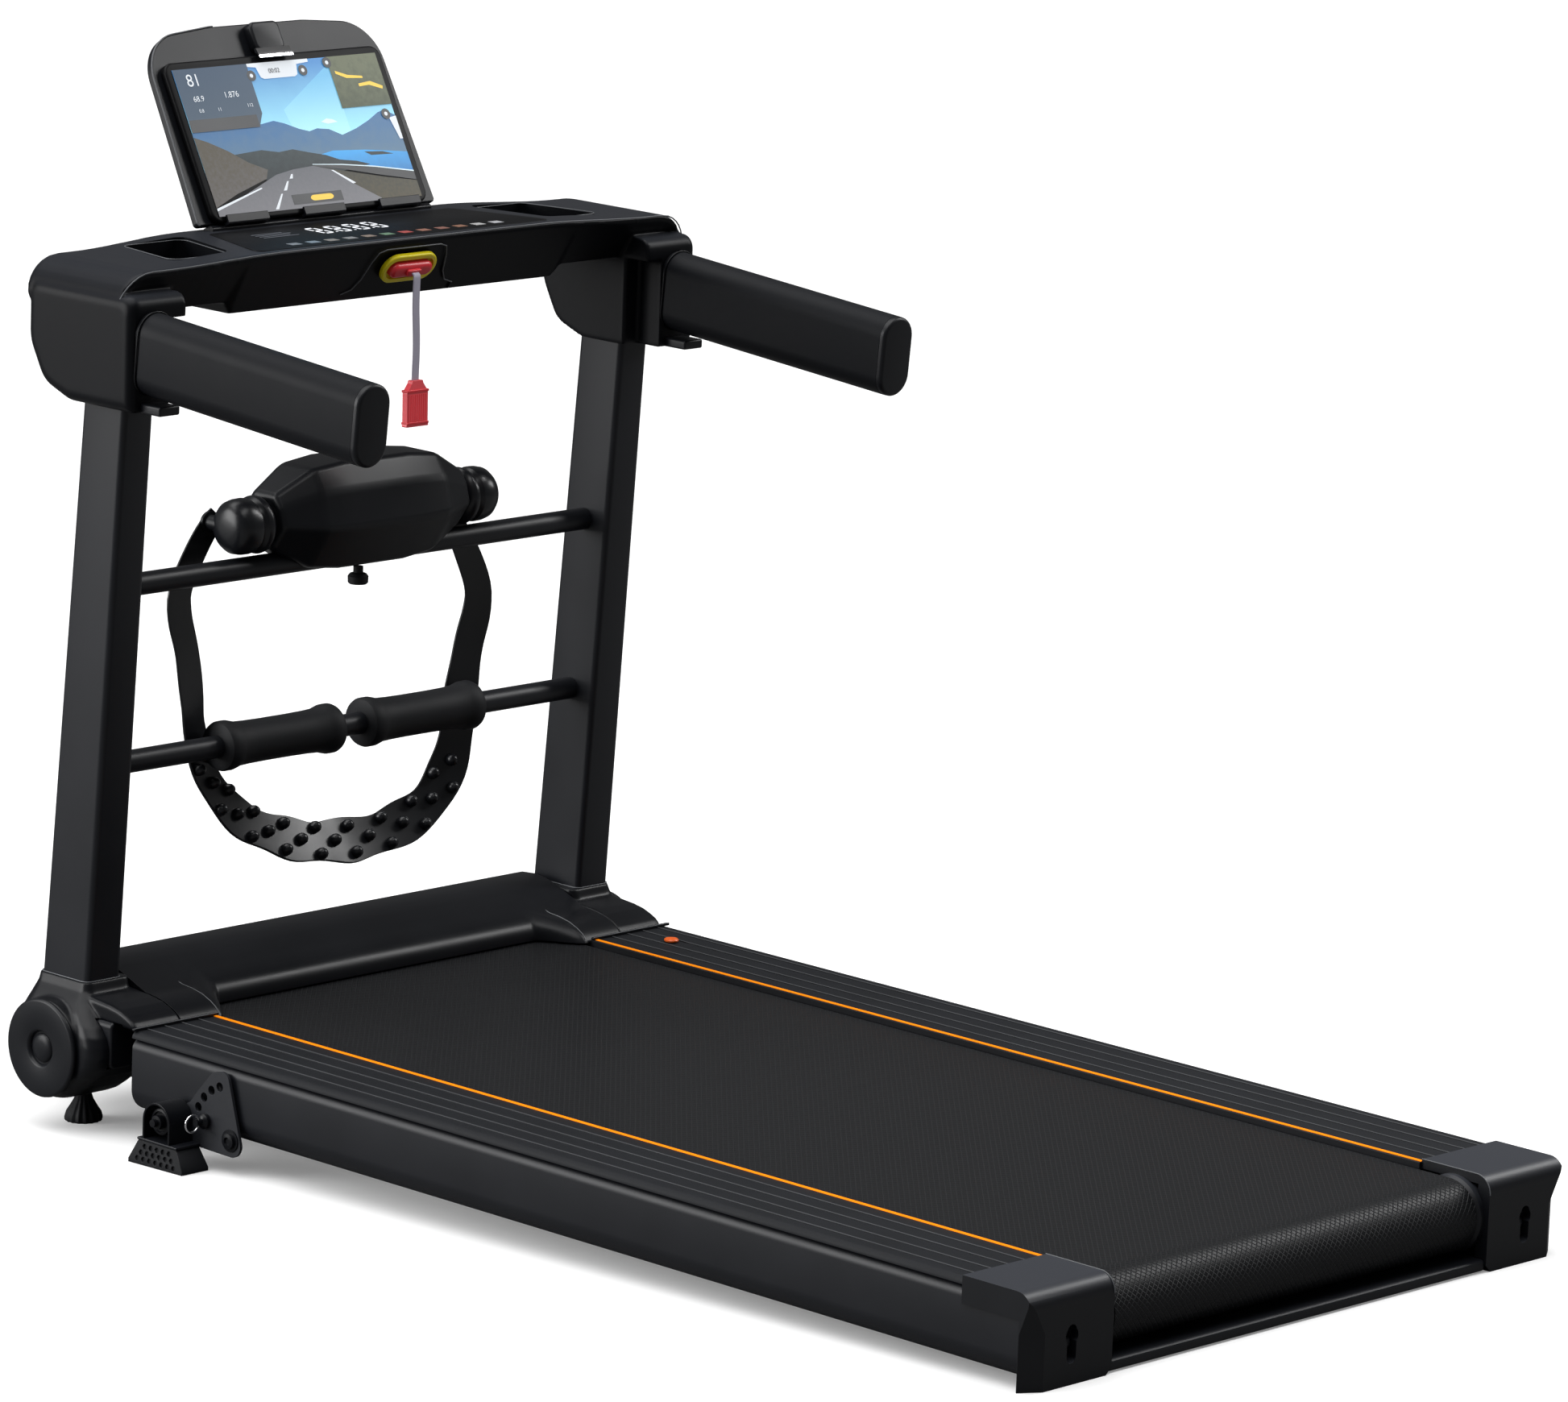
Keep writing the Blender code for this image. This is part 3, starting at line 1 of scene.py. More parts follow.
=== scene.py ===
"""Looks of the folding treadmill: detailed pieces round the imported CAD, in a pale studio.

Pieces are drawn in the machine frame (X right, Y forward to the console, Z up from the foot
rails) and then placed by MACHINE, which carries the deck's slope.
"""
import json
import math

import bmesh
import bpy
from mathutils import Matrix, Vector


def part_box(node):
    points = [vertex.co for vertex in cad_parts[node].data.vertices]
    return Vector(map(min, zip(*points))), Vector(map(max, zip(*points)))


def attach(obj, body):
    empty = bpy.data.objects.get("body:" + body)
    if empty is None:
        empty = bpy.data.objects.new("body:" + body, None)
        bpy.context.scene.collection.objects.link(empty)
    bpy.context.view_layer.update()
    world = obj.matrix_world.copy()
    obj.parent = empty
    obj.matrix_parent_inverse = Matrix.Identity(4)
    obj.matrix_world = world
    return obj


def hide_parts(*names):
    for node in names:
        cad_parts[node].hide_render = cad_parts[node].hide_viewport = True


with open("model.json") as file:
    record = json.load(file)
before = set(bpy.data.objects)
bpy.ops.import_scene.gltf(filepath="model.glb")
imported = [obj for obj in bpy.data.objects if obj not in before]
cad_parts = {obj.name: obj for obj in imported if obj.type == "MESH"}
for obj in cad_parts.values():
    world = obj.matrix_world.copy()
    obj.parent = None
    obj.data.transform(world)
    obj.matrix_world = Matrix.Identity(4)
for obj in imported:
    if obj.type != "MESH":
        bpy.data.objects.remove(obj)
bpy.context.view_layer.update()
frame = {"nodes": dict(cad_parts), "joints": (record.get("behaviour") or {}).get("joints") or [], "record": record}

SLOPE = math.radians(1.3)
HINGE = Vector((0.0, 1.155, -0.034))
HOLDER_HINGE = Vector((0.0, 1.2035, 0.7165))
HOLDER_LEAN = math.radians(29)
HANDLE_TILT = math.radians(4.6)
HANDLE_ROOT = Vector((0.0, 1.088, 0.6355))
HANDLE_LENGTH = 0.322
ROLLER_Z = -0.0378
POST_X = 0.32
NOSE_PROFILE = ((1.09, -0.0025), (1.0902, 0.004), (1.093, 0.0105), (1.0985, 0.0155), (1.107, 0.0195),
                (1.118, 0.0232), (1.128, 0.0268))
WING_PROFILE = ((1.0508, -0.0025), (1.053, 0.0008), (1.0575, 0.0053), (1.065, 0.0095), (1.0765, 0.0138),
                (1.09, 0.0163), (1.104, 0.0175))
CREST_PROFILE = ((1.145, 0.033), (1.16, 0.0368), (1.174, 0.038))
TRAY_CORNERS = ((0.205, 1.102), (0.276, 1.102), (0.258, 1.192), (0.182, 1.192))
FLOOR_DROP = 0.08677
HOUSING_LEVELS = ((0.03, 1.1235, 1.193, 0.3425, 0.007), (0.022, 1.1205, 1.1942, 0.345, 0.009),
                  (0.012, 1.114, 1.1975, 0.352, 0.013), (0.003, 1.105, 1.2008, 0.358, 0.016),
                  (-0.006, 1.095, 1.2038, 0.3622, 0.017), (-0.015, 1.088, 1.2055, 0.3648, 0.017),
                  (-0.024, 1.0845, 1.2066, 0.3658, 0.017), (-0.034, 1.0835, 1.207, 0.366, 0.017),
                  (-0.044, 1.0862, 1.2055, 0.3658, 0.017), (-0.053, 1.0935, 1.202, 0.365, 0.017),
                  (-0.062, 1.105, 1.197, 0.3635, 0.017), (-0.07, 1.116, 1.1905, 0.3615, 0.017),
                  (-0.077, 1.127, 1.182, 0.359, 0.016), (-0.083, 1.142, 1.17, 0.356, 0.012))
BELL = [(-0.072, -0.027), (-0.06, -0.0225), (-0.053, -0.012), (-0.048, 0.008), (-0.043, 0.0185),
        (-0.034, 0.0215), (0.034, 0.0215), (0.043, 0.0185), (0.048, 0.008), (0.053, -0.012),
        (0.06, -0.0225), (0.072, -0.027)]
FACE_LEAN = math.atan2(0.03, 0.054)
FACE_ROOT = Vector((0, 1.0805, 0.683))
FACE_LOCAL = Matrix.Translation(FACE_ROOT) @ Matrix.Rotation(FACE_LEAN, 4, "X")
SCREEN = (-0.1305, 0.1305, 0.004, 0.1525)
SCREEN_Y = -0.0073
LIGHTS = (("left_softbox", (-3.4, 2.6, 1.5), (0, 0, 0.3), (2.4, 2.4), 120),
          ("right_strip", (2.8, -0.9, 2.6), (0, -0.3, 0.1), (0.5, 2.2), 60))
# Angles are in degrees. focal_px is the focal length of a picture that is width_px wide.
CAMERA = {"azimuth": -46.335, "elevation": 11.763, "roll": 2.186,
          "shift_right": 0.394415, "shift_up": -0.4398996, "distance": 7.0173851,
          "focal_px": 10038.347, "width_px": 1946}
SUN_ENERGY = 3.1
SUN_AIM = (0.22, -0.1, -1.0)
# The floor and backdrop look paler to the camera than the light that they give.
FLOOR_SEEN = (0.86, 0.86, 0.86)
FLOOR_LIT = (0.16, 0.16, 0.16)
FLOOR_GLOW = 0.22
BACKDROP_SEEN = 1.0
BACKDROP_LIT = 0.11
HANDLE_X = 0.3385
HANDLE_WIDTH = 0.04
HANDLE_DEPTH = 0.077
HINGE_INNER = 0.2887
BOLT_X = 0.3
BOLT_Z = -0.049
UPPER_BAR = (1.135, 0.4)
LOWER_BAR = (1.146, 0.229)
BAR_REACH = 0.3035
TABLET_TOP = 0.1605
LEG_PIVOT = (0.906, -0.073)
LEG_WHEEL = (0.976, -0.066)
PIN_RADIUS = 0.036
PIN_ANGLE = math.radians(19)
SIDES = ((-1, "left"), (1, "right"))
SLOTS = {entry["node"]: entry["material_slot"] for entry in frame["record"]["subparts"]}
JOINTS = {joint["name"]: joint for joint in frame["joints"]}
TURN = Matrix.Rotation(SLOPE, 4, "X")
MACHINE = Matrix.Translation(Vector(JOINTS["fold_hinge"]["pos_m"]) - TURN @ HINGE) @ TURN
HOLDER = MACHINE @ Matrix.Translation(HOLDER_HINGE) @ Matrix.Rotation(-HOLDER_LEAN, 4, "X")


# ---------------------------------------------------------------- materials

def nodes_of(name):
    material = bpy.data.materials.new(name)
    material.use_nodes = True
    tree = material.node_tree
    return material, tree, tree.nodes["Principled BSDF"]


def node(tree, kind, values=None, **settings):
    """New shader node. The values are constants of its sockets, the settings its own attributes."""
    made = tree.nodes.new(f"ShaderNode{kind}")
    for name, setting in settings.items():
        setattr(made, name, setting)
    for socket, value in (values or {}).items():
        made.inputs[socket].default_value = value
    return made


def colour_mix(tree, low, high):
    """Mix from the low colour to the high one. Its factor is input 0 and its result output 2."""
    return node(tree, "Mix", {6: (*low, 1), 7: (*high, 1)}, data_type="RGBA")


def calculate(tree, operation, first, second=None, clamp=False):
    """Result of a math node whose operands are sockets or numbers."""
    made = node(tree, "Math", operation=operation, use_clamp=clamp)
    for number, operand in enumerate((first, second)):
        if isinstance(operand, float):
            made.inputs[number].default_value = operand
        elif operand is not None:
            tree.links.new(operand, made.inputs[number])
    return made.outputs[0]


def finish(name, colour, rough, metallic=0.0, grain=1400.0, bump=0.04, vary=0.25, specular=0.5,
           emission=0.0, painted_top_light=0.0):
    """Solid-coloured material with a fine grain, cloudy tone and uneven sheen, and with painted light that makes
    it paler where it faces up.
    """
    material, tree, shader = nodes_of(name)
    link = tree.links.new
    coords = node(tree, "TexCoord")
    cloud = node(tree, "TexNoise", {"Scale": 14.0, "Detail": 4.0})
    fine = node(tree, "TexNoise", {"Scale": grain, "Detail": 2.0})
    tone = colour_mix(tree, [c * (1 - vary) for c in colour], [min(1, c * (1 + vary)) for c in colour])
    sheen = node(tree, "MapRange", {"To Min": rough * 0.88, "To Max": min(1, rough * 1.12)})
    relief = node(tree, "Bump", {"Strength": bump, "Distance": 0.0004})
    link(coords.outputs["Object"], cloud.inputs["Vector"])
    link(coords.outputs["Object"], fine.inputs["Vector"])
    link(cloud.outputs["Fac"], tone.inputs[0])
    link(tone.outputs[2], shader.inputs["Base Color"])
    link(cloud.outputs["Fac"], sheen.inputs["Value"])
    link(sheen.outputs["Result"], shader.inputs["Roughness"])
    link(fine.outputs["Fac"], relief.inputs["Height"])
    link(relief.outputs["Normal"], shader.inputs["Normal"])
    shader.inputs["Metallic"].default_value = metallic
    shader.inputs["Specular IOR Level"].default_value = specular
    # Painted light: faces that look up are mixed towards a pale, slightly blue colour, as if lit from above.
    if painted_top_light:
        split = node(tree, "SeparateXYZ")
        facing = node(tree, "MapRange", {"From Min": 0.35})
        painted_top_mix = node(tree, "Mix", {7: (painted_top_light * 0.92, painted_top_light, painted_top_light * 1.22, 1)}, data_type="RGBA")
        link(coords.outputs["Normal"], split.inputs[0])
        link(split.outputs[2], facing.inputs["Value"])
        link(facing.outputs["Result"], painted_top_mix.inputs[0])
        link(tone.outputs[2], painted_top_mix.inputs[6])
        link(painted_top_mix.outputs[2], shader.inputs["Base Color"])
    # Glow: on the orange stripe and the clothes clip this is painted light, since they are no lamps.
    if emission:
        link(tone.outputs[2], shader.inputs["Emission Color"])
        shader.inputs["Emission Strength"].default_value = emission
    return material


def gradient(name, low, high, bottom, top, grain=60.0, speckle=0.12):
    """Colour that runs from low to high between two heights of the piece, with a little speckle."""
    material, tree, shader = nodes_of(name)
    link = tree.links.new
    coords = node(tree, "TexCoord")
    split = node(tree, "SeparateXYZ")
    ramp = node(tree, "MapRange", {"From Min": bottom, "From Max": top})
    noise = node(tree, "TexNoise", {"Scale": grain, "Detail": 6.0})
    stir = node(tree, "MapRange", {"To Min": -speckle, "To Max": speckle})
    tone = colour_mix(tree, low, high)
    link(coords.outputs["Object"], split.inputs[0])
    link(coords.outputs["Object"], noise.inputs["Vector"])
    link(split.outputs[2], ramp.inputs["Value"])
    link(noise.outputs["Fac"], stir.inputs["Value"])
    share = calculate(tree, "ADD", ramp.outputs["Result"], stir.outputs["Result"], clamp=True)
    link(share, tone.inputs[0])
    link(tone.outputs[2], shader.inputs["Base Color"])
    link(tone.outputs[2], shader.inputs["Emission Color"])
    shader.inputs["Emission Strength"].default_value = 0.5
    shader.inputs["Roughness"].default_value = 0.3
    shader.inputs["Specular IOR Level"].default_value = 0.2
    return material


def woven(name, pitch):
    """Belt cover with a raised diamond weave that follows the belt's own length."""
    material, tree, shader = nodes_of(name)
    link = tree.links.new
    coords = node(tree, "UVMap")
    split = node(tree, "SeparateXYZ")
    link(coords.outputs["UV"], split.inputs[0])
    waves = []
    for operation in ("ADD", "SUBTRACT"):
        diagonal = calculate(tree, operation, split.outputs[0], split.outputs[1])
        phase = calculate(tree, "MULTIPLY", diagonal, math.pi / (pitch * math.sqrt(2)))
        waves.append(calculate(tree, "ABSOLUTE", calculate(tree, "SINE", phase)))
    groove = node(tree, "MapRange", {"From Max": 0.42})
    link(calculate(tree, "MINIMUM", *waves), groove.inputs["Value"])
    tone = colour_mix(tree, (0.019, 0.02, 0.0225), (0.0052, 0.0056, 0.0066))
    link(groove.outputs["Result"], tone.inputs[0])
    link(tone.outputs[2], shader.inputs["Base Color"])
    relief = node(tree, "Bump", {"Strength": 0.75, "Distance": 0.0007})
    link(groove.outputs["Result"], relief.inputs["Height"])
    link(relief.outputs["Normal"], shader.inputs["Normal"])
    shader.inputs["Roughness"].default_value = 0.42
    shader.inputs["Specular IOR Level"].default_value = 0.2
    return material


PAINT = finish("black_paint", (0.0078, 0.0088, 0.012), 0.42, grain=900, bump=0.03, specular=0.36)
LEG_PAINT = finish("leg_paint", (0.019, 0.0205, 0.025), 0.45, grain=900, bump=0.03, specular=0.45)
# Painted light: the end caps are paler on faces that look up.
CAP_PLASTIC = finish("cap_plastic", (0.006, 0.0067, 0.009), 0.4, grain=1800, bump=0.05, specular=0.32,
                     painted_top_light=0.036)
PLASTIC = finish("black_plastic", (0.006, 0.0068, 0.0092), 0.38, grain=1800, bump=0.05, specular=0.3)
# Painted light: the console is paler on faces that look up.
CONSOLE = finish("console_plastic", (0.0032, 0.0036, 0.005), 0.4, grain=1800, bump=0.03, specular=0.13,
                 painted_top_light=0.022)
SATIN = finish("satin_plastic", (0.0046, 0.0052, 0.007), 0.34, grain=1800, bump=0.03, specular=0.24)
# Painted light: the grip foam is a little paler on faces that look up.
GRIP = finish("grip_foam", (0.0042, 0.0048, 0.0066), 0.5, grain=2400, bump=0.12, specular=0.14, painted_top_light=0.01)
RIBBED = finish("foot_rail_plastic", (0.0078, 0.0088, 0.0112), 0.58, grain=2600, bump=0.2, specular=0.22)
# Pale lines on the rib crests of the foot rails: painted highlights.
RIB = finish("rib_highlight_line", (0.075, 0.078, 0.084), 0.5, grain=1200, bump=0.05, specular=0.3)
RUBBER = finish("rubber", (0.0068, 0.0074, 0.0094), 0.6, grain=2200, bump=0.2, specular=0.28)
GLOSSY = finish("glossy_rubber", (0.0072, 0.008, 0.0104), 0.3, grain=1500, bump=0.04, specular=0.42)
STEEL = finish("steel", (0.62, 0.62, 0.64), 0.24, metallic=1.0, grain=600, bump=0.04, vary=0.06)
CHROME = finish("chrome", (0.85, 0.85, 0.86), 0.08, metallic=1.0, grain=300, bump=0.01, vary=0.03)
# Pale lines along edges and rims: painted highlights.
PAINTED_HIGHLIGHT = finish("painted_highlight_line", (0.105, 0.11, 0.12), 0.4, grain=900, bump=0.03)
BELT = woven("belt_weave", 0.0046)
# Painted light: the orange stripe glows a little, though it is no lamp.
ORANGE = finish("orange_stripe", (1.0, 0.255, 0.0), 0.5, grain=1200, bump=0.04, vary=0.04, specular=0.1,
                emission=0.2)
PLUG = finish("orange_plug", (0.85, 0.13, 0.01), 0.35, grain=900, bump=0.05, vary=0.08)
YELLOW = finish("yellow_plastic", (0.84, 0.72, 0.005), 0.34, grain=900, bump=0.03, vary=0.06)
RED = finish("red_plastic", (0.78, 0.035, 0.05), 0.3, grain=900, bump=0.03, vary=0.08)
# Painted light: the clothes clip glows a little, though it is no lamp.
CLIP_RED = finish("clip_red", (0.85, 0.09, 0.11), 0.32, grain=900, bump=0.03, vary=0.1, emission=0.1)
STRAP = finish("lanyard_webbing", (0.47, 0.45, 0.55), 0.8, grain=2600, bump=0.6, vary=0.1)
BOARD = finish("deck_board", (0.1, 0.07, 0.045), 0.6, grain=500, bump=0.2)
CIRCUIT = finish("circuit_board", (0.02, 0.11, 0.05), 0.35, grain=700, bump=0.1)
GLASS = finish("display_glass", (0.0018, 0.002, 0.0028), 0.46, grain=200, bump=0.0, vary=0.05,
               specular=0.16)
DIGIT = finish("digit_white", (0.8, 0.82, 0.86), 0.4, grain=400, bump=0.0, vary=0.04, emission=0.55)
DIM = finish("icon_grey", (0.12, 0.13, 0.15), 0.45, grain=400, bump=0.0, vary=0.08, emission=0.15)


# ---------------------------------------------------------------- shapes

def arc(centre, radius, first, last, steps):
    points = []
    for step in range(steps + 1):
        angle = math.radians(first + (last - first) * step / steps)
        points.append((centre[0] + radius * math.cos(angle), centre[1] + radius * math.sin(angle)))
    return points


def rounded(points, radii, steps=6):
    """Outline whose corners are replaced by tangent arcs."""
    outline = []
    for index, (corner, radius) in enumerate(zip(points, radii)):
        here = Vector(corner)
        before = (Vector(points[index - 1]) - here).normalized()
        after = (Vector(points[(index + 1) % len(points)]) - here).normalized()
        if radius == 0:
            outline.append(tuple(here))
            continue
        half = before.angle(after) / 2
        centre = here + (before + after).normalized() * radius / math.sin(half)
        start = here + before * radius / math.tan(half) - centre
        stop = here + after * radius / math.tan(half) - centre
        first = math.atan2(start.y, start.x)
        sweep = (math.atan2(stop.y, stop.x) - first + math.pi) % (2 * math.pi) - math.pi
        for step in range(steps + 1):
            angle = first + sweep * step / steps
            outline.append((centre.x + radius * math.cos(angle), centre.y + radius * math.sin(angle)))
    return outline


def rectangle(a_low, a_high, b_low, b_high, radius=0.0, steps=5):
    corners = [(a_low, b_low), (a_high, b_low), (a_high, b_high), (a_low, b_high)]
    return rounded(corners, [radius] * 4, steps)


def stadium(width, height, steps=12):
    """Outline with two half-round ends, the longer way along the second axis."""
    radius = min(width, height) / 2
    if height >= width:
        reach = height / 2 - radius
        return arc((0, reach), radius, 0, 180, steps) + arc((0, -reach), radius, 180, 360, steps)
    reach = width / 2 - radius
    return arc((reach, 0), radius, -90, 90, steps) + arc((-reach, 0), radius, 90, 270, steps)


def on_axis(axis, pair, along):
    a, b = pair
    return {"X": (along, a, b), "Y": (a, along, b), "Z": (a, b, along)}[axis]


def loft(rings, closed=False):
    """Skin through rings of equally many points, capped unless the rings close on themselves."""
    mesh = bmesh.new()
    loops = [[mesh.verts.new(point) for point in ring] for ring in rings]
    count = len(loops[0])
    pairs = list(zip(loops, loops[1:] + loops[:1])) if closed else list(zip(loops, loops[1:]))
    for lower, upper in pairs:
        for index in range(count):
            after = (index + 1) % count
            mesh.faces.new((lower[index], lower[after], upper[after], upper[index]))
    if not closed:
        mesh.faces.new(loops[0])
        mesh.faces.new(loops[-1])
    bmesh.ops.recalc_face_normals(mesh, faces=mesh.faces)
    return mesh


def extrude(outline, axis, low, high):
    return loft([[on_axis(axis, pair, level) for pair in outline] for level in (low, high)])


def cushioned(outline, axis, flat, far, radius, steps=6):
    """Extrusion whose far rim is rounded by radius."""
    spans = [[pair[i] for pair in outline] for i in (0, 1)]
    middle = [(min(span) + max(span)) / 2 for span in spans]
    half = [(max(span) - min(span)) / 2 for span in spans]
    heading = math.copysign(1.0, far - flat)
    rings = [[on_axis(axis, pair, flat) for pair in outline]]
    for step in range(steps + 1):
        angle = math.pi / 2 * step / steps
        inset = radius * (1 - math.cos(angle))
        level = far - heading * radius * (1 - math.sin(angle))
        ring = [tuple(middle[i] + (pair[i] - middle[i]) * (1 - inset / half[i]) for i in (0,
                1)) for pair in outline]
        rings.append([on_axis(axis, pair, level) for pair in ring])
    return loft(rings)


def lathe(profile, axis, centre=(0, 0), segments=48):
    """Solid of revolution. The profile lists (radius, place along the axis)."""
    mesh = bmesh.new()
    rings = []
    for radius, along in profile:
        if radius == 0:
            rings.append([mesh.verts.new(on_axis(axis, centre, along))])
            continue
        ring = arc(centre, radius, 0, 360 - 360 / segments, segments - 1)
        rings.append([mesh.verts.new(on_axis(axis, pair, along)) for pair in ring])
    for lower, upper in zip(rings, rings[1:]):
        for index in range(segments):
            after = (index + 1) % segments
            if len(lower) == 1:
                mesh.faces.new((lower[0], upper[after], upper[index]))
            elif len(upper) == 1:
                mesh.faces.new((lower[index], lower[after], upper[0]))
            else:
                mesh.faces.new((lower[index], lower[after], upper[after], upper[index]))
    for ring in (rings[0], rings[-1]):
        if len(ring) > 1:
            mesh.faces.new(ring)
    bmesh.ops.recalc_face_normals(mesh, faces=mesh.faces)
    return mesh


def box(x_low, x_high, y_low, y_high, z_low, z_high):
    low_x, high_x = sorted((x_low, x_high))
    return extrude(rectangle(low_x, high_x, y_low, y_high), "Z", z_low, z_high)


def mirrored(outline, side):
    return [(side * a, b) for a, b in outline]


def show(name, data):
    item = bpy.data.objects.new(name, data)
    bpy.context.scene.collection.objects.link(item)
    return item


def mesh_data(name, mesh):
    data = bpy.data.meshes.new(name)
    mesh.to_mesh(data)
    mesh.free()
    return data


def temporary(mesh):
    return show("temporary", mesh_data("temporary", mesh))


def baked(item, extra=()):
    """The item's mesh with its modifiers applied. The item and its helpers are removed."""
    result = bmesh.new()
    bpy.context.view_layer.update()
    result.from_object(item, bpy.context.evaluated_depsgraph_get())
    for used in (item, *extra):
        data = used.data
        bpy.data.objects.remove(used)
        bpy.data.meshes.remove(data)
    return result


def combine(base, tool, operation="DIFFERENCE"):
    body, helper = temporary(base), temporary(tool)
    modifier = body.modifiers.new("combine", "BOOLEAN")
    modifier.object = helper
    modifier.operation = operation
    modifier.solver = "EXACT"
    return baked(body, (helper,))


def softened(mesh, voxel, rounds):
    """Blend a union's inner corners by remeshing it and smoothing the result."""
    body = temporary(mesh)
    remesh = body.modifiers.new("remesh", "REMESH")
    remesh.mode = "VOXEL"
    remesh.voxel_size = voxel
    smooth = body.modifiers.new("smooth", "SMOOTH")
    smooth.factor = 0.5
    smooth.iterations = rounds
    return baked(body)


def piece(name, mesh, material, body, replaced=(), bevel=0.0, segments=3, frame_matrix=None, angle=32):
    """Show a machine-frame mesh as a piece that rides on a CAD body."""
    mesh.transform(frame_matrix or MACHINE)
    data = mesh_data(name, mesh)
    data.shade_smooth()
    data.set_sharp_from_angle(angle=math.radians(angle))
    data.materials.append(material)
    item = show(name, data)
    if bevel:
        edge = item.modifiers.new("bevel", "BEVEL")
        edge.width = bevel
        edge.segments = segments
        edge.limit_method = "ANGLE"
        edge.angle_limit = math.radians(angle)
        weigh = item.modifiers.new("weighted", "WEIGHTED_NORMAL")
        weigh.keep_sharp = False
    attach(item, body)
    if replaced:
        names = (replaced,) if isinstance(replaced, str) else replaced
        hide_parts(*names)
    return item


def line(name, points, radius, material, body, frame_matrix=None, closed=False):
    """Round wire, or a painted highlight line, along a path."""
    curve = bpy.data.curves.new(name, "CURVE")
    curve.dimensions = "3D"
    curve.bevel_depth = radius
    curve.bevel_resolution = 3
    curve.use_fill_caps = True
    spline = curve.splines.new("POLY")
    spline.points.add(len(points) - 1)
    spline.use_cyclic_u = closed
    matrix = frame_matrix or MACHINE
    for target, point in zip(spline.points, points):
        target.co = (*(matrix @ Vector(point)), 1.0)
    curve.materials.append(material)
    item = show(name, curve)
    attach(item, body)
    return item


# ---------------------------------------------------------------- deck

def build_rails():
    for side, word in SIDES:
        profile = [(0.284, -0.0765)] + arc((0.328, -0.0545), 0.022, -90, 0, 12)
        profile += arc((0.3395, -0.0173), 0.0105, 0, 90, 8) + [(0.284, -0.0068)]
        rail = extrude(mirrored(profile, side), "Y", -0.0652, 1.0497)
        piece(f"rail_{word}", rail, PAINT, "deck", f"side_rail_{word}")
        offsets = (0.271, 0.292, 0.313, 0.334)
        top = [(0.2455, -0.0065), (0.2455, -0.0006), (0.2462, 0.0)]
        for offset in offsets:
            top += [(offset - 0.0016, 0.0), (offset - 0.001, -0.0004), (offset - 0.0008, 0.0005),
                    (offset + 0.0008, 0.0005), (offset + 0.001, -0.0004), (offset + 0.0016, 0.0)]
        top += arc((0.3436, -0.0064), 0.0064, 90, 8, 7) + [(0.35, -0.0065)]
        tread = extrude(mirrored(top, side), "Y", 0.0003, 1.0504)
        piece(f"tread_{word}", tread, RIBBED, "deck", f"foot_rail_{word}", angle=20)
        # Painted highlight along the crest of each rib.
        for number, offset in enumerate(offsets):
            strip = extrude(mirrored(rectangle(offset - 0.0006, offset + 0.0006, 0.0003, 0.0008), side),
                            "Y", 0.0005, 1.0465)
            piece(f"rib_{word}_{number}", strip, RIB, "deck")
        stripe = extrude(mirrored(rectangle(0.248, 0.2521, -0.001, 0.0007, 0.0003, 2), side), "Y", 0.0005,
                         1.0468)
        piece(f"stripe_{word}", stripe, ORANGE, "deck")
        bar = extrude(mirrored(rectangle(0.2455, 0.3505, 0.0002, 0.0028, 0.001, 3), side), "Y", 1.0468,
                      1.0506)
        piece(f"front_lip_{word}", bar, SATIN, "deck", bevel=0.0006, segments=2)
        # Painted highlight along the lip bar's top edge.
        highlight = [(side * x, 1.0472, 0.0028) for x in (0.246, 0.35)]
        line(f"front_lip_highlight_{word}", highlight, 0.00045, PAINTED_HIGHLIGHT, "deck")
    plug = lathe([(0.0, -0.004), (0.0036, -0.004), (0.0036, 0.001), (0.007, 0.0012), (0.0072, 0.0024),
                  (0.0062, 0.0036), (0.003, 0.0042), (0.0, 0.0043)], "Z", (0.303, 0.997), 32)
    piece("port_plug", plug, PLUG, "oil_port_plug", "oil_port_plug")


def build_belt():
    """Closed belt with its own length as the second texture coordinate."""
    rear, front, outer, inner = -0.0397, 1.1, 0.0333, 0.0313
    path = []
    for step in range(61):
        path.append((rear + (front - rear) * step / 60, 90.0))
    for step in range(1, 25):
        path.append((front, 90.0 - 180.0 * step / 24))
    for step in range(1, 61):
        path.append((front + (rear - front) * step / 60, -90.0))
    for step in range(1, 24):
        path.append((rear, -90.0 - 180.0 * step / 24))
    mesh = bmesh.new()
    layer = mesh.loops.layers.uv.new("UVMap")
    half = 0.2395
    skins = []
    lengths = [0.0]
    for radius in (outer, inner):
        rows = []
        for y, degrees in path:
            angle = math.radians(degrees)
            place = (y + radius * math.cos(angle), ROLLER_Z + radius * math.sin(angle))
            rows.append([mesh.verts.new((x, *place)) for x in (-half, half)])
        skins.append(rows)
    for low, high in zip(skins[0], skins[0][1:] + skins[0][:1]):
        lengths.append(lengths[-1] + (high[0].co - low[0].co).length)
    count = len(path)
    for index in range(count):
        after = (index + 1) % count
        for rows, flip in zip(skins, (False, True)):
            quad = [rows[index][0], rows[index][1], rows[after][1], rows[after][0]]
            marks = [(-half, lengths[index]), (half, lengths[index]), (half, lengths[index + 1]),
                     (-half, lengths[index + 1])]
            if flip:
                quad.reverse()
                marks.reverse()
            face = mesh.faces.new(quad)
            for loop, mark in zip(face.loops, marks):
                loop[layer].uv = mark
        for edge in (0, 1):
            quad = [skins[0][index][edge], skins[0][after][edge], skins[1][after][edge],
                    skins[1][index][edge]]
            face = mesh.faces.new(quad)
            for loop in face.loops:
                loop[layer].uv = (0.001 * edge, lengths[index])
    bmesh.ops.recalc_face_normals(mesh, faces=mesh.faces)
    piece("belt", mesh, BELT, "deck", "running_belt")


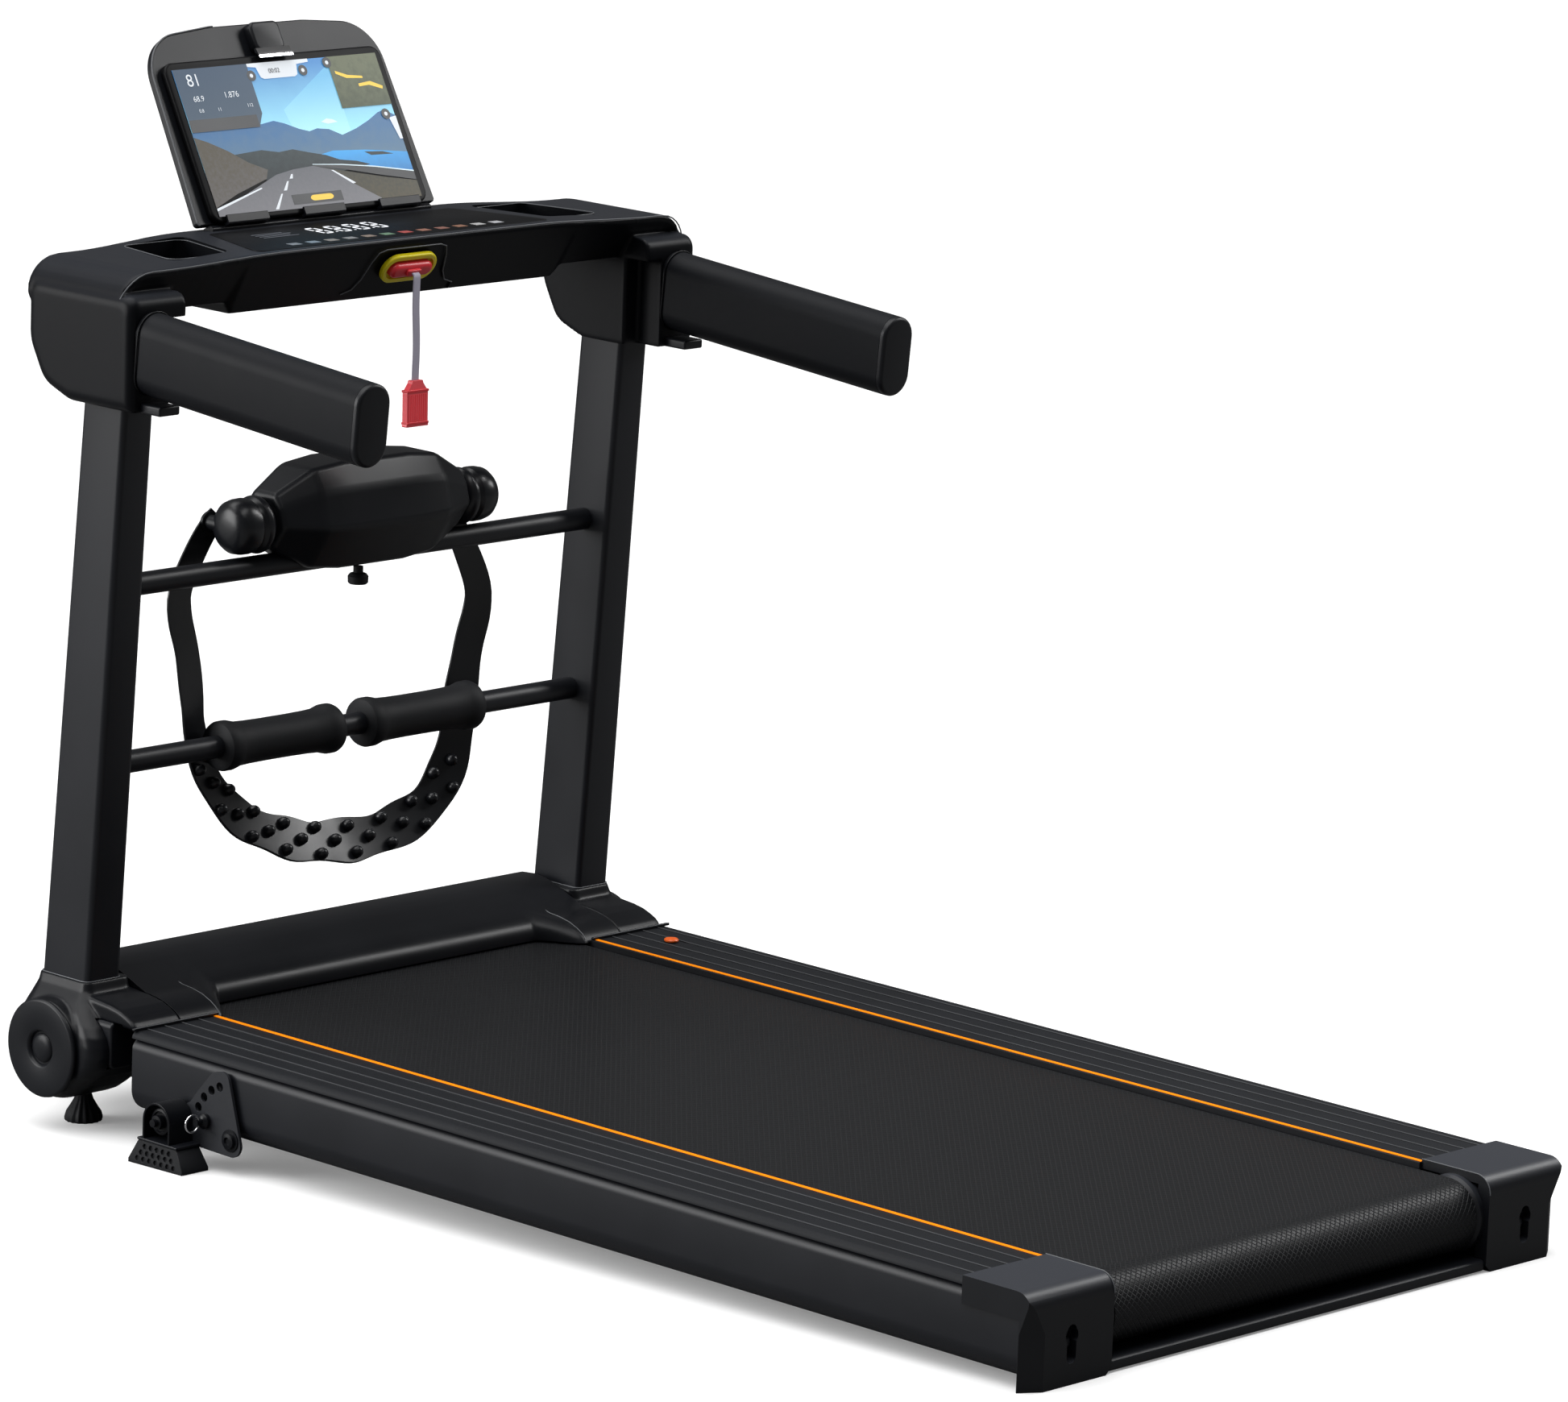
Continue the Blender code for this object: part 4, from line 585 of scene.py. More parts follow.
def build_end_caps():
    for side, word in SIDES:
        profile = [(-0.0655, -0.0855), (-0.079, -0.0853)] + arc((-0.0625, -0.014), 0.0165, 180, 90, 8)
        profile += [(0.0, 0.0025), (0.0, -0.006), (-0.0655, -0.006)]
        body = extrude(profile, "X", *sorted((side * 0.2483, side * 0.3525)))
        lip = extrude([(-0.0656, -0.0225), (0.0, -0.0225), (0.0, 0.0), (-0.0656, 0.0)], "X",
                      *sorted((side * 0.3504, side * 0.3525)))
        body = combine(body, lip, "UNION")
        wedge = []
        for z, inward, forward in ((-0.095, 0.0215, 0.015), (-0.035, 0.0215, 0.015), (-0.01, 0.008, 0.0055),
                                   (0.01, 0.004, 0.003)):
            corner = [(0.354 - inward, -0.08), (0.354, -0.08 + forward), (0.364, -0.08 + forward),
                      (0.364, -0.08)]
            wedge.append([(a, b, z) for a, b in mirrored(corner, side)])
        body = combine(body, loft(wedge))
        foot = extrude([(side * 0.24, -0.07), (side * 0.24, -0.09), (side * 0.26, -0.09)], "Y",
                       -0.085, -0.06)
        body = combine(body, foot)
        collar = lathe([(0.0, side * 0.2405), (0.0325, side * 0.2405), (0.0352, side * 0.243),
                        (0.0352, side * 0.253), (0.0, side * 0.253)], "X", (-0.0397, ROLLER_Z), 64)
        body = combine(body, collar, "UNION")
        slot = [(a + BOLT_X, b + BOLT_Z) for a, b in stadium(0.0115, 0.034)]
        body = combine(body, extrude(mirrored(slot, side), "Y", -0.085, -0.069))
        head = arc((BOLT_X, -0.042), 0.0078, 0, 350, 35)
        body = combine(body, extrude(mirrored(head, side), "Y", -0.085, -0.07))
        piece(f"end_cap_shell_{word}", body, CAP_PLASTIC, "deck", f"end_cap_{word}", bevel=0.0011,
              segments=3)
        # Painted highlight along the cap's inner top edge and round its rear corner.
        shine = [(side * 0.2487, y, 0.0027) for y in (0.0, -0.06)]
        shine += [(side * 0.2487, -0.0625 + 0.0168 * math.cos(math.radians(a)),
                  -0.014 + 0.0168 * math.sin(math.radians(a))) for a in range(100, 181, 10)]
        line(f"end_cap_shine_{word}", shine, 0.0005, PAINTED_HIGHLIGHT, "deck")
        bolt = lathe([(0.0, -0.0738), (0.0034, -0.0738), (0.005, -0.0728), (0.005, -0.07), (0.003, -0.07),
                      (0.003, -0.03), (0.0, -0.03)], "Y", (side * BOLT_X, BOLT_Z), 6)
        piece(f"tension_bolt_shell_{word}", bolt, PAINT, f"tension_bolt_{word}", f"tension_bolt_{word}")


def smooth(share):
    share = min(1.0, max(0.0, share))
    return share * share * (3 - 2 * share)


def hood_section(wing, inset):
    """Fore-and-aft outline of the hood, from its rear lip over the top and back along its foot."""
    lip = -0.0225 if inset else -0.0025
    foot = -0.066 if inset else -0.06
    skirt = 1.13 if inset else 1.142
    rear = []
    for (nose_y, nose_z), (wing_y, wing_z) in zip(NOSE_PROFILE, WING_PROFILE):
        rear.append((nose_y + (wing_y - nose_y) * wing + inset, nose_z + (wing_z - nose_z) * wing - inset))
    rear[0] = (rear[0][0], lip)
    crest = [(y, z - inset) for y, z in CREST_PROFILE]
    front = rounded([(1.174, 0.038 - inset), (1.194, 0.0365 - inset), (1.222 - inset, 0.02 - inset),
                     (1.244 - inset, -0.006 - inset), (1.2525 - inset, -0.026), (1.25 - inset, -0.036),
                     (1.236 - inset, foot), (skirt, foot)], (0, 0.02, 0.03, 0.02, 0.006, 0.006, 0.004, 0),
                     4)
    return rear + crest + front[1:] + [(skirt, lip)]


def hood_rings(half, inset):
    stops = [-half, -0.262, -0.24] + [-0.24 + 0.0035 * n for n in range(1, 11)] + [-0.1]
    rings = []
    for x in stops + [-x for x in reversed(stops)]:
        wing = smooth((abs(x) - 0.205) / 0.035)
        rings.append([(x, y, z) for y, z in hood_section(wing, inset)])
    return rings


def build_hood():
    shell = combine(loft(hood_rings(0.2873, 0.0)), loft(hood_rings(0.283, 0.003)))
    shell = combine(shell, box(0.1496, 0.1904, 1.235, 1.26, -0.0354, -0.0046))
    shell = combine(shell, box(0.1046, 0.1304, 1.235, 1.26, -0.0354, -0.0126))
    piece("hood", shell, SATIN, "deck", "motor_hood", bevel=0.0009, segments=3, angle=38)
    for side, word in SIDES:
        # Painted highlight along the inner end of each hood wing.
        edge = [(side * 0.2404, y, z + 0.0002) for y, z in WING_PROFILE[1:]]
        edge += [(side * 0.2404, y, z + 0.0002) for y, z in ((1.118, 0.0212), (1.128, 0.0255))]
        line(f"hood_edge_highlight_{word}", edge, 0.0005, PAINTED_HIGHLIGHT, "deck")


# ---------------------------------------------------------------- hinge housings and posts

def post_ring(share, extra):
    width = 0.0425 - 0.0053 * share + 2 * extra
    depth = 0.065 - 0.007 * share + 2 * extra
    y = 1.1595 - 0.0395 * share
    outline = rectangle(-width / 2, width / 2, y - depth / 2, y + depth / 2, 0.006 + extra, 6)
    return [(a, b, 0.6 * share) for a, b in outline]


def post_rings(side, shares, extra):
    return [[(a + side * POST_X, b, c) for a, b, c in post_ring(share, extra)] for share in shares]


def build_posts():
    for side, word in SIDES:
        post = loft(post_rings(side, (0.0, 0.3, 0.6, 1.0), 0.0))
        piece(f"post_{word}", post, PAINT, "uprights", f"upright_{word}")
    for name, place in (("upper_crossbar", UPPER_BAR), ("lower_crossbar", LOWER_BAR)):
        bar = lathe([(0.0, -BAR_REACH), (0.0108, -BAR_REACH), (0.0108, BAR_REACH), (0.0, BAR_REACH)], "X",
                    place, 40)
        piece(f"{name}_tube", bar, PAINT, "uprights", name)


def build_hinges():
    for side, word in SIDES:
        drum = lathe([(0.0, side * HINGE_INNER), (0.0455, side * HINGE_INNER), (0.0455, side * 0.365),
                      (0.044, side * 0.3662), (0.0, side * 0.3662)], "X", (HINGE.y, HINGE.z), 72)
        levels = []
        for z, rear, front, far, corner in HOUSING_LEVELS:
            outline = rectangle(*sorted((side * HINGE_INNER, side * far)), rear, front, corner, 8)
            levels.append([(a, b, z) for a, b in outline])
        body = combine(loft(levels), drum, "UNION")
        toe = list(WING_PROFILE) + [(1.13, 0.02), (1.13, -0.0025)]
        body = combine(body, cushioned(toe, "X", side * 0.288, side * 0.345, 0.005, 6), "UNION")
        body = softened(body, 0.0014, 6)
        body = combine(body, loft(post_rings(side, (-0.004, 0.5), 0.0004)))
        if side < 0:
            body = combine(body, box(-0.3486, -0.3184, 1.07, 1.124, -0.0446, 0.0016))
        foot_bore = lathe([(0.0, -0.09), (0.0055, -0.09), (0.0055, -0.06), (0.0, -0.06)], "Z",
                          (side * 0.313, 1.158), 24)
        body = combine(body, foot_bore)
        piece(f"hinge_housing_{word}", body, SATIN, "uprights", f"hinge_shroud_{word}", angle=50)
        # Painted highlight round the collar where the post leaves the housing.
        rim = [(a, b, 0.0303) for a, b, _ in post_rings(side, (0.05,), 0.001)[0]]
        line(f"collar_highlight_{word}", rim, 0.0006, PAINTED_HIGHLIGHT, "uprights", closed=True)
        disc = [(0.0, 0.3666), (0.0452, 0.3666), (0.0464, 0.3674), (0.0468, 0.3688), (0.0466, 0.3702),
                (0.0456, 0.3712), (0.044, 0.3716), (0.0188, 0.3716), (0.0176, 0.3712), (0.0166, 0.3702),
                (0.016, 0.3686), (0.0156, 0.3676), (0.014, 0.3676), (0.0134, 0.3688), (0.0112, 0.3702),
                (0.007, 0.3711), (0.0, 0.3714)]
        cap = lathe([(r, side * x) for r, x in disc], "X", (HINGE.y, HINGE.z), 96)
        piece(f"hinge_disc_{word}", cap, PLASTIC, "uprights", f"hinge_cap_{word}", angle=40)
    latch = extrude(rectangle(-0.348, -0.319, -0.044, 0.001, 0.006, 5), "Y", 1.082, 1.117)
    piece("latch_button", latch, PLASTIC, "fold_latch", "fold_latch", bevel=0.0025, segments=4)


def build_feet():
    for _, word in SIDES:
        low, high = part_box(f"levelling_foot_{word}")
        centre = (low + high) / 2
        rings = []
        for radius, rise in ((0.017, 0.0), (0.0182, 0.0016), (0.0182, 0.0042), (0.017, 0.0085),
                             (0.013, 0.0145),
                             (0.0095, 0.0205), (0.008, 0.025), (0.0075, 0.0262), (0.0036, 0.0262),
                             (0.0036, 0.046)):
            ring = []
            for step in range(96):
                angle = 2 * math.pi * step / 96
                scallop = 1 - 0.07 * (0.5 + 0.5 * math.cos(16 * angle)) * (radius > 0.009)
                ring.append((centre.x + radius * scallop * math.cos(angle),
                             centre.y + radius * scallop * math.sin(angle), low.z + rise))
            rings.append(ring)
        piece(f"screw_foot_{word}", loft(rings), RUBBER, f"levelling_foot_{word}", f"levelling_foot_{word}",
              frame_matrix=Matrix.Identity(4))


# ---------------------------------------------------------------- console

def console_droop(reach):
    """Share of the top's dip, from the display out to the ends."""
    return smooth((reach - 0.165) / 0.15)


def console_fall(reach):
    """Drop of the top along the quarter round at each end."""
    over = max(0.0, reach - 0.327)
    return 0.038 - math.sqrt(0.038 ** 2 - min(over, 0.038) ** 2)


def beam_section(x):
    """Console outline at one place along its width, rounded over towards the two ends."""
    reach = abs(x)
    droop = console_droop(reach)
    fall = console_fall(reach)
    tuck = fall * 0.25
    top = 0.711 - 0.005 * droop - fall
    step = min(1.0, max(0.0, (reach - 0.207) / 0.01))
    foot = 0.652 + 0.012 * step
    rear = 1.068 + tuck
    base = 1.098 - 0.004 * step + tuck * 0.3
    front = 1.222 - 0.012 * droop - tuck
    corners = [(base, foot), (rear, top), (front, top), (front - 0.004, foot + 0.004), (front - 0.03, foot)]
    share = min(1.0, (top - foot) / 0.045)
    return rounded(corners, [radius * share for radius in (0.002, 0.004, 0.01, 0.0015, 0.004)], 5)


def glass_outline(extra):
    """Display outline, wider towards the runner."""
    corners = [(-0.19 - extra, 1.08 - extra), (0.19 + extra, 1.08 - extra), (0.156 + extra, 1.186 + extra),
               (-0.156 - extra, 1.186 + extra)]
    return rounded(corners, (0.0077 + extra,) * 4, 6)


def tray_outline(side):
    return rounded([(side * a, b) for a, b in TRAY_CORNERS], (0.01,) * 4, 5)


def handle_place(side):
    """Place of a handlebar's root, with the bar along Y."""
    root = HANDLE_ROOT + Vector((side * HANDLE_X, 0, 0))
    return Matrix.Translation(root) @ Matrix.Rotation(HANDLE_TILT, 4, "X")


def build_console():
    stations = [-0.364, -0.362, -0.359, -0.355, -0.35, -0.344, -0.337, -0.327, -0.315, -0.3, -0.285,
                -0.27, -0.255, -0.24, -0.228, -0.217, -0.207, -0.19, -0.17, -0.15, -0.1, -0.05, 0.0]
    stations += [-x for x in reversed(stations[:-1])]
    body = loft([[(x, y, z) for y, z in beam_section(x)] for x in stations])
    cheek = rounded([(1.056, 0.579), (1.056, 0.686), (1.201, 0.686), (1.201, 0.63), (1.18, 0.592),
                     (1.145, 0.579)], (0.002, 0.012, 0.01, 0.04, 0.03, 0.03), 8)
    for side, _ in SIDES:
        body = combine(body, cushioned(cheek, "X", side * 0.2975, side * 0.365, 0.01, 8), "UNION")
        body = combine(body, box(*sorted((side * 0.28, side * 0.3165)), 1.04, 1.086, 0.56, 0.664))
    body = softened(body, 0.0018, 4)
    for side, _ in SIDES:
        body = combine(body, loft(post_rings(side, (0.85, 1.004), 0.0004)))
        body = combine(body, extrude(tray_outline(side), "Z", 0.673, 0.74))
        socket = extrude(stadium(HANDLE_WIDTH + 0.0012, HANDLE_DEPTH + 0.0012, 12), "Y", -0.2, 0.0003)
        socket.transform(handle_place(side))
        body = combine(body, socket)
    body = combine(body, extrude(glass_outline(0.0003), "Z", 0.708, 0.73))
    recess = extrude(BELL + [(0.07, -0.05), (-0.07, -0.05)], "Y", -0.03, 0.0022)
    recess.transform(FACE_LOCAL)
    body = combine(body, recess)
    piece("console", body, CONSOLE, "uprights", "console_housing", angle=45)
    # Painted highlight round the bell-shaped recess.
    line("bell_highlight", [(a, -0.0002, b) for a, b in BELL], 0.0006, PAINTED_HIGHLIGHT, "uprights", MACHINE @ FACE_LOCAL)
    glass = cushioned(glass_outline(0.0), "Z", 0.7083, 0.7116, 0.0006, 2)
    piece("display", glass, GLASS, "uprights", "console_glass")
    # Painted highlight along the console's rear top edge.
    rear_highlight = []
    for x in stations[1:-1]:
        fall = console_fall(abs(x))
        rear_highlight.append((x, 1.0692 + fall * 0.25, 0.7106 - 0.005 * console_droop(abs(x)) - fall))
    line("console_rear_highlight", rear_highlight, 0.0007, PAINTED_HIGHLIGHT, "uprights")
    for side, word in SIDES:
        # Painted highlight round each tray's rim.
        line(f"tray_highlight_{word}", [(a, b, 0.7078) for a, b in tray_outline(side)], 0.0005, PAINTED_HIGHLIGHT, "uprights",
             closed=True)
        rim = [(a, -0.034, b) for a, b in stadium(0.0424, 0.0794, 12)]
        matrix = MACHINE @ handle_place(side)
        line(f"handle_rim_{word}", rim, 0.0008, SATIN, "uprights", matrix, closed=True)
        tab = box(side * 0.326, side * 0.351, 1.03, 1.06, 0.579, 0.588)
        piece(f"handle_tab_{word}", tab, PLASTIC, "uprights", bevel=0.002)
    hinge_block = rounded([(1.196, 0.708), (1.196, 0.714), (1.201, 0.716), (1.209, 0.712), (1.213, 0.706)],
                          (0.001, 0.002, 0.002, 0.003, 0.001), 4)
    piece("holder_block", extrude(hinge_block, "X", -0.141, 0.141), SATIN, "uprights", bevel=0.0006)


def build_display_marks():
    """Generic lamp-test digits and key marks on the console glass."""
    level = 0.7117
    for number in range(4):
        left = -0.059 + number * 0.0235
        for bar in range(7):
            width, height = 0.0105, 0.03
            spots = {0: (0, height, 1), 1: (width, height * 0.75, 0), 2: (width, height * 0.25, 0),
                     3: (0, 0, 1),
                     4: (0, height * 0.25, 0), 5: (0, height * 0.75, 0), 6: (0, height / 2, 1)}
            across, up, flat = spots[bar]
            x = left + (width / 2 if flat else across)
            y = 1.129 + up
            size = (width * 0.36, 0.0014) if flat else (0.0011, height * 0.19)
            mark = box(x - size[0], x + size[0], y - size[1], y + size[1], level, level + 0.0002)
            piece(f"digit_{number}_{bar}", mark, DIGIT, "uprights")
        if number < 3:
            dot = box(left + 0.0152, left + 0.0172, 1.13, 1.132, level, level + 0.0002)
            piece(f"digit_dot_{number}", dot, DIGIT, "uprights")
    tints = ((0.14, 0.16, 0.18), (0.13, 0.17, 0.21), (0.16, 0.15, 0.14), (0.16, 0.16, 0.16),
             (0.17, 0.13, 0.1),
             (0.1, 0.17, 0.1), (0.3, 0.05, 0.04), (0.22, 0.1, 0.07), (0.2, 0.09, 0.07), (0.22, 0.11, 0.07),
             (0.4, 0.4, 0.4), (0.36, 0.36, 0.38))
    for number, tint in enumerate(tints):
        x = -0.13 + number * 0.0236
        mark = box(x - 0.0062, x + 0.0062, 1.09, 1.1, level, level + 0.0002)
        piece(f"key_mark_{number}", mark, finish(f"key_tint_{number}", tint, 0.4, bump=0.0, emission=0.25),
              "uprights")
    for row in range(4):
        mark = box(-0.13, -0.086 - 0.006 * (row % 2), 1.136 + row * 0.006, 1.1375 + row * 0.006, level,
                   level + 0.0002)
        piece(f"legend_{row}", mark, DIM, "uprights")


def build_handlebars():
    for side, word in SIDES:
        matrix = MACHINE @ handle_place(side)
        bar = extrude(stadium(HANDLE_WIDTH, HANDLE_DEPTH, 20), "Y", -HANDLE_LENGTH, 0.0)
        piece(f"grip_{word}", bar, GRIP, "uprights", f"handlebar_{word}", frame_matrix=matrix)
        end = -HANDLE_LENGTH - 0.0003
        cap = cushioned(stadium(0.0398, 0.0768, 20), "Y", end, end - 0.0062, 0.0036, 6)
        piece(f"grip_end_{word}", cap, PLASTIC, "uprights", f"handlebar_cap_{word}", frame_matrix=matrix)


def build_safety_key():
    place = MACHINE @ FACE_LOCAL @ Matrix.Translation((0, -0.0006, 0))
    ring = cushioned(stadium(0.068, 0.031, 14), "Y", 0.0, -0.0052, 0.0018, 5)
    ring = combine(ring, extrude(stadium(0.0585, 0.0205, 14), "Y", -0.008, -0.0013))
    piece("key_socket", ring, YELLOW, "uprights", "safety_socket", frame_matrix=place, bevel=0.0006)
    key = cushioned(stadium(0.053, 0.015, 14), "Y", -0.0016, -0.01, 0.0045, 6)
    piece("key_body", key, RED, "safety_key", "safety_key", frame_matrix=place)
    loop = extrude(rectangle(-0.0085, 0.0085, -0.0035, 0.0035, 0.0015, 3), "Y", -0.0128, -0.0095)
    piece("key_loop", loop, RED, "safety_key", frame_matrix=place, bevel=0.0008)


def build_lanyard():
    """Flat strap that leaves the key, turns down and hangs plumb with its clothes clip."""
    plate = FACE_ROOT + Vector((0, -math.cos(FACE_LEAN), -math.sin(FACE_LEAN))) * 0.0118
    points = [plate]
    reach = 0.0045
    for step in range(1, 6):
        angle = math.radians(90 * step / 5)
        points.append(plate + Vector((0, -reach * math.sin(angle), -reach * (1 - math.cos(angle)))))
    drop = 0.104 - reach * math.pi / 2
    base = points[-1]
    for step in range(1, 15):
        fall = drop * step / 14
        points.append(base + Vector((0, -fall * math.sin(SLOPE), -fall * math.cos(SLOPE))))
    rings = []
    for index, point in enumerate(points):
        before, after = points[max(0, index - 1)], points[min(len(points) - 1, index + 1)]
        along = (after - before).normalized()
        out = along.cross(Vector((1, 0, 0))).normalized()
        sway = 0.0006 * math.sin(index * 0.55)
        corners = rectangle(-0.0044, 0.0044, -0.0008, 0.0008, 0.0006, 2)
        rings.append([tuple(point + Vector((a + sway, 0, 0)) + out * b) for a, b in corners])
    strap = piece("strap", loft(rings), STRAP, "safety_key", "lanyard", bevel=0.0003, segments=2)
    end = points[-1]
    outline = rounded([(-0.0065, 0.0), (0.0065, 0.0), (0.0075, -0.003), (0.0135, -0.011), (0.0135, -0.04),
                       (0.0145, -0.044), (-0.0145, -0.044), (-0.0135, -0.04), (-0.0135, -0.011),
                       (-0.0075, -0.003)], (0.001, 0.001, 0.002, 0.003, 0.001, 0.001, 0.001, 0.001, 0.003,
                                            0.002), 3)
    level = MACHINE @ Matrix.Translation(end) @ Matrix.Rotation(-SLOPE, 4, "X")
    clip = piece("clothes_clip", extrude(outline, "Y", -0.0034, 0.0034), CLIP_RED, "safety_key", "key_clip",
                 frame_matrix=level, bevel=0.0007)
    for number in range(9):
        x = -0.0108 + number * 0.0027
        rib = box(x - 0.0006, x + 0.0006, -0.0042, 0.0042, -0.0385, -0.0135)
        piece(f"clip_rib_{number}", rib, CLIP_RED, "safety_key", frame_matrix=level)
    for number, z in enumerate((-0.01, -0.0405)):
        band = box(-0.0138, 0.0138, -0.0045, 0.0045, z - 0.0012, z + 0.0012)
        piece(f"clip_band_{number}", band, RED, "safety_key", frame_matrix=level, bevel=0.0005)


# ---------------------------------------------------------------- tablet

def screen_point(s, d):
    """Place on the tablet from shares across and down the picture."""
    left, right, low, high = SCREEN
    return left + (right - left) * s, high - (high - low) * d


def patch(name, shares, material, layer):
    """Flat coloured area of the picture, a hair above the one behind it."""
    outline = [screen_point(min(1, max(0, s)), min(1, max(0, d))) for s, d in shares]
    top = SCREEN_Y - 0.00006 * layer
    mesh = extrude(outline, "Y", top, top + 0.00005)
    piece(f"picture_{name}", mesh, material, "tablet_holder", frame_matrix=HOLDER)


def build_tablet():
    arch = [(-0.153, -0.0005), (0.153, -0.0005), (0.147, 0.1875), (0.06, 0.1955), (-0.06, 0.1955),
            (-0.147, 0.1875)]
    outline = rounded(arch, (0.004, 0.004, 0.045, 0.1, 0.1, 0.045), 14)
    panel = extrude(outline, "Y", 0.0, 0.008)
    panel = combine(panel, extrude(rectangle(-0.0075, 0.0075, 0.167, 0.24, 0.003, 3), "Y", -0.004, 0.012))
    piece("holder_panel", panel, PLASTIC, "tablet_holder", "tablet_panel", frame_matrix=HOLDER,
          bevel=0.0016,
          segments=4)
    # Painted highlight along the holder panel's side edges.
    frame_edge = [(x, -0.0001, z) for x, z in outline]
    start = min(range(len(outline)), key=lambda i: (outline[i][1], outline[i][0]))
    rim = frame_edge[start:] + frame_edge[:start]
    side_highlight = [point for point in rim if point[0] < -0.03 and point[2] > 0.0]
    line("holder_highlight", side_highlight, 0.0008, PAINTED_HIGHLIGHT, "tablet_holder", HOLDER)
    for number, offset in enumerate((-0.098, 0.0, 0.098)):
        profile = rounded([(0.001, -0.0004), (-0.0004, -0.0045), (-0.0102, -0.0045), (-0.011, -0.003),
                           (-0.011, 0.0048), (-0.0086, 0.0048), (-0.0086, -0.0015), (0.001, -0.0015)],
                          (0, 0.001, 0.001, 0.0005, 0.0008, 0.0008, 0.0003, 0), 3)
        lip = extrude(profile, "X", offset - 0.026, offset + 0.026)
        piece(f"holder_lip_{number}", lip, PLASTIC, "tablet_holder", frame_matrix=HOLDER, bevel=0.0005,
              segments=2)
    tablet = cushioned(rectangle(-0.1385, 0.1385, -0.001, TABLET_TOP, 0.011, 8), "Y", -0.0004, -0.0072,
                       0.002, 4)
    piece("tablet_body", tablet, GLASS, "tablet_holder", "tablet", frame_matrix=HOLDER)
    build_picture()
    top = TABLET_TOP
    body = cushioned(rectangle(-0.0185, 0.0185, top + 0.0035, top + 0.033, 0.006, 5), "Y", -0.0004,
                     -0.0105, 0.0025, 4)
    piece("clip_body", body, PLASTIC, "tablet_clip", "tablet_clip", frame_matrix=HOLDER)
    hook = rounded([(-0.009, top + 0.001), (-0.009, top + 0.006), (-0.0115, top + 0.0058),
                    (-0.014, top - 0.005),
                    (-0.0126, top - 0.005), (-0.0105, top + 0.0015)],
                    (0.0, 0.0, 0.001, 0.0003, 0.0003, 0.001), 3)
    piece("clip_hook", extrude(hook, "X", -0.0215, 0.0215), CHROME, "tablet_clip", frame_matrix=HOLDER)


def screen_shade(name, low, high, bottom, top, **options):
    """Gradient between two heights of the holder, as world heights."""
    heights = [(HOLDER @ Vector((0, 0, z - 0.012))).z for z in (bottom, top)]
    return gradient(name, low, high, heights[0], heights[1], **options)


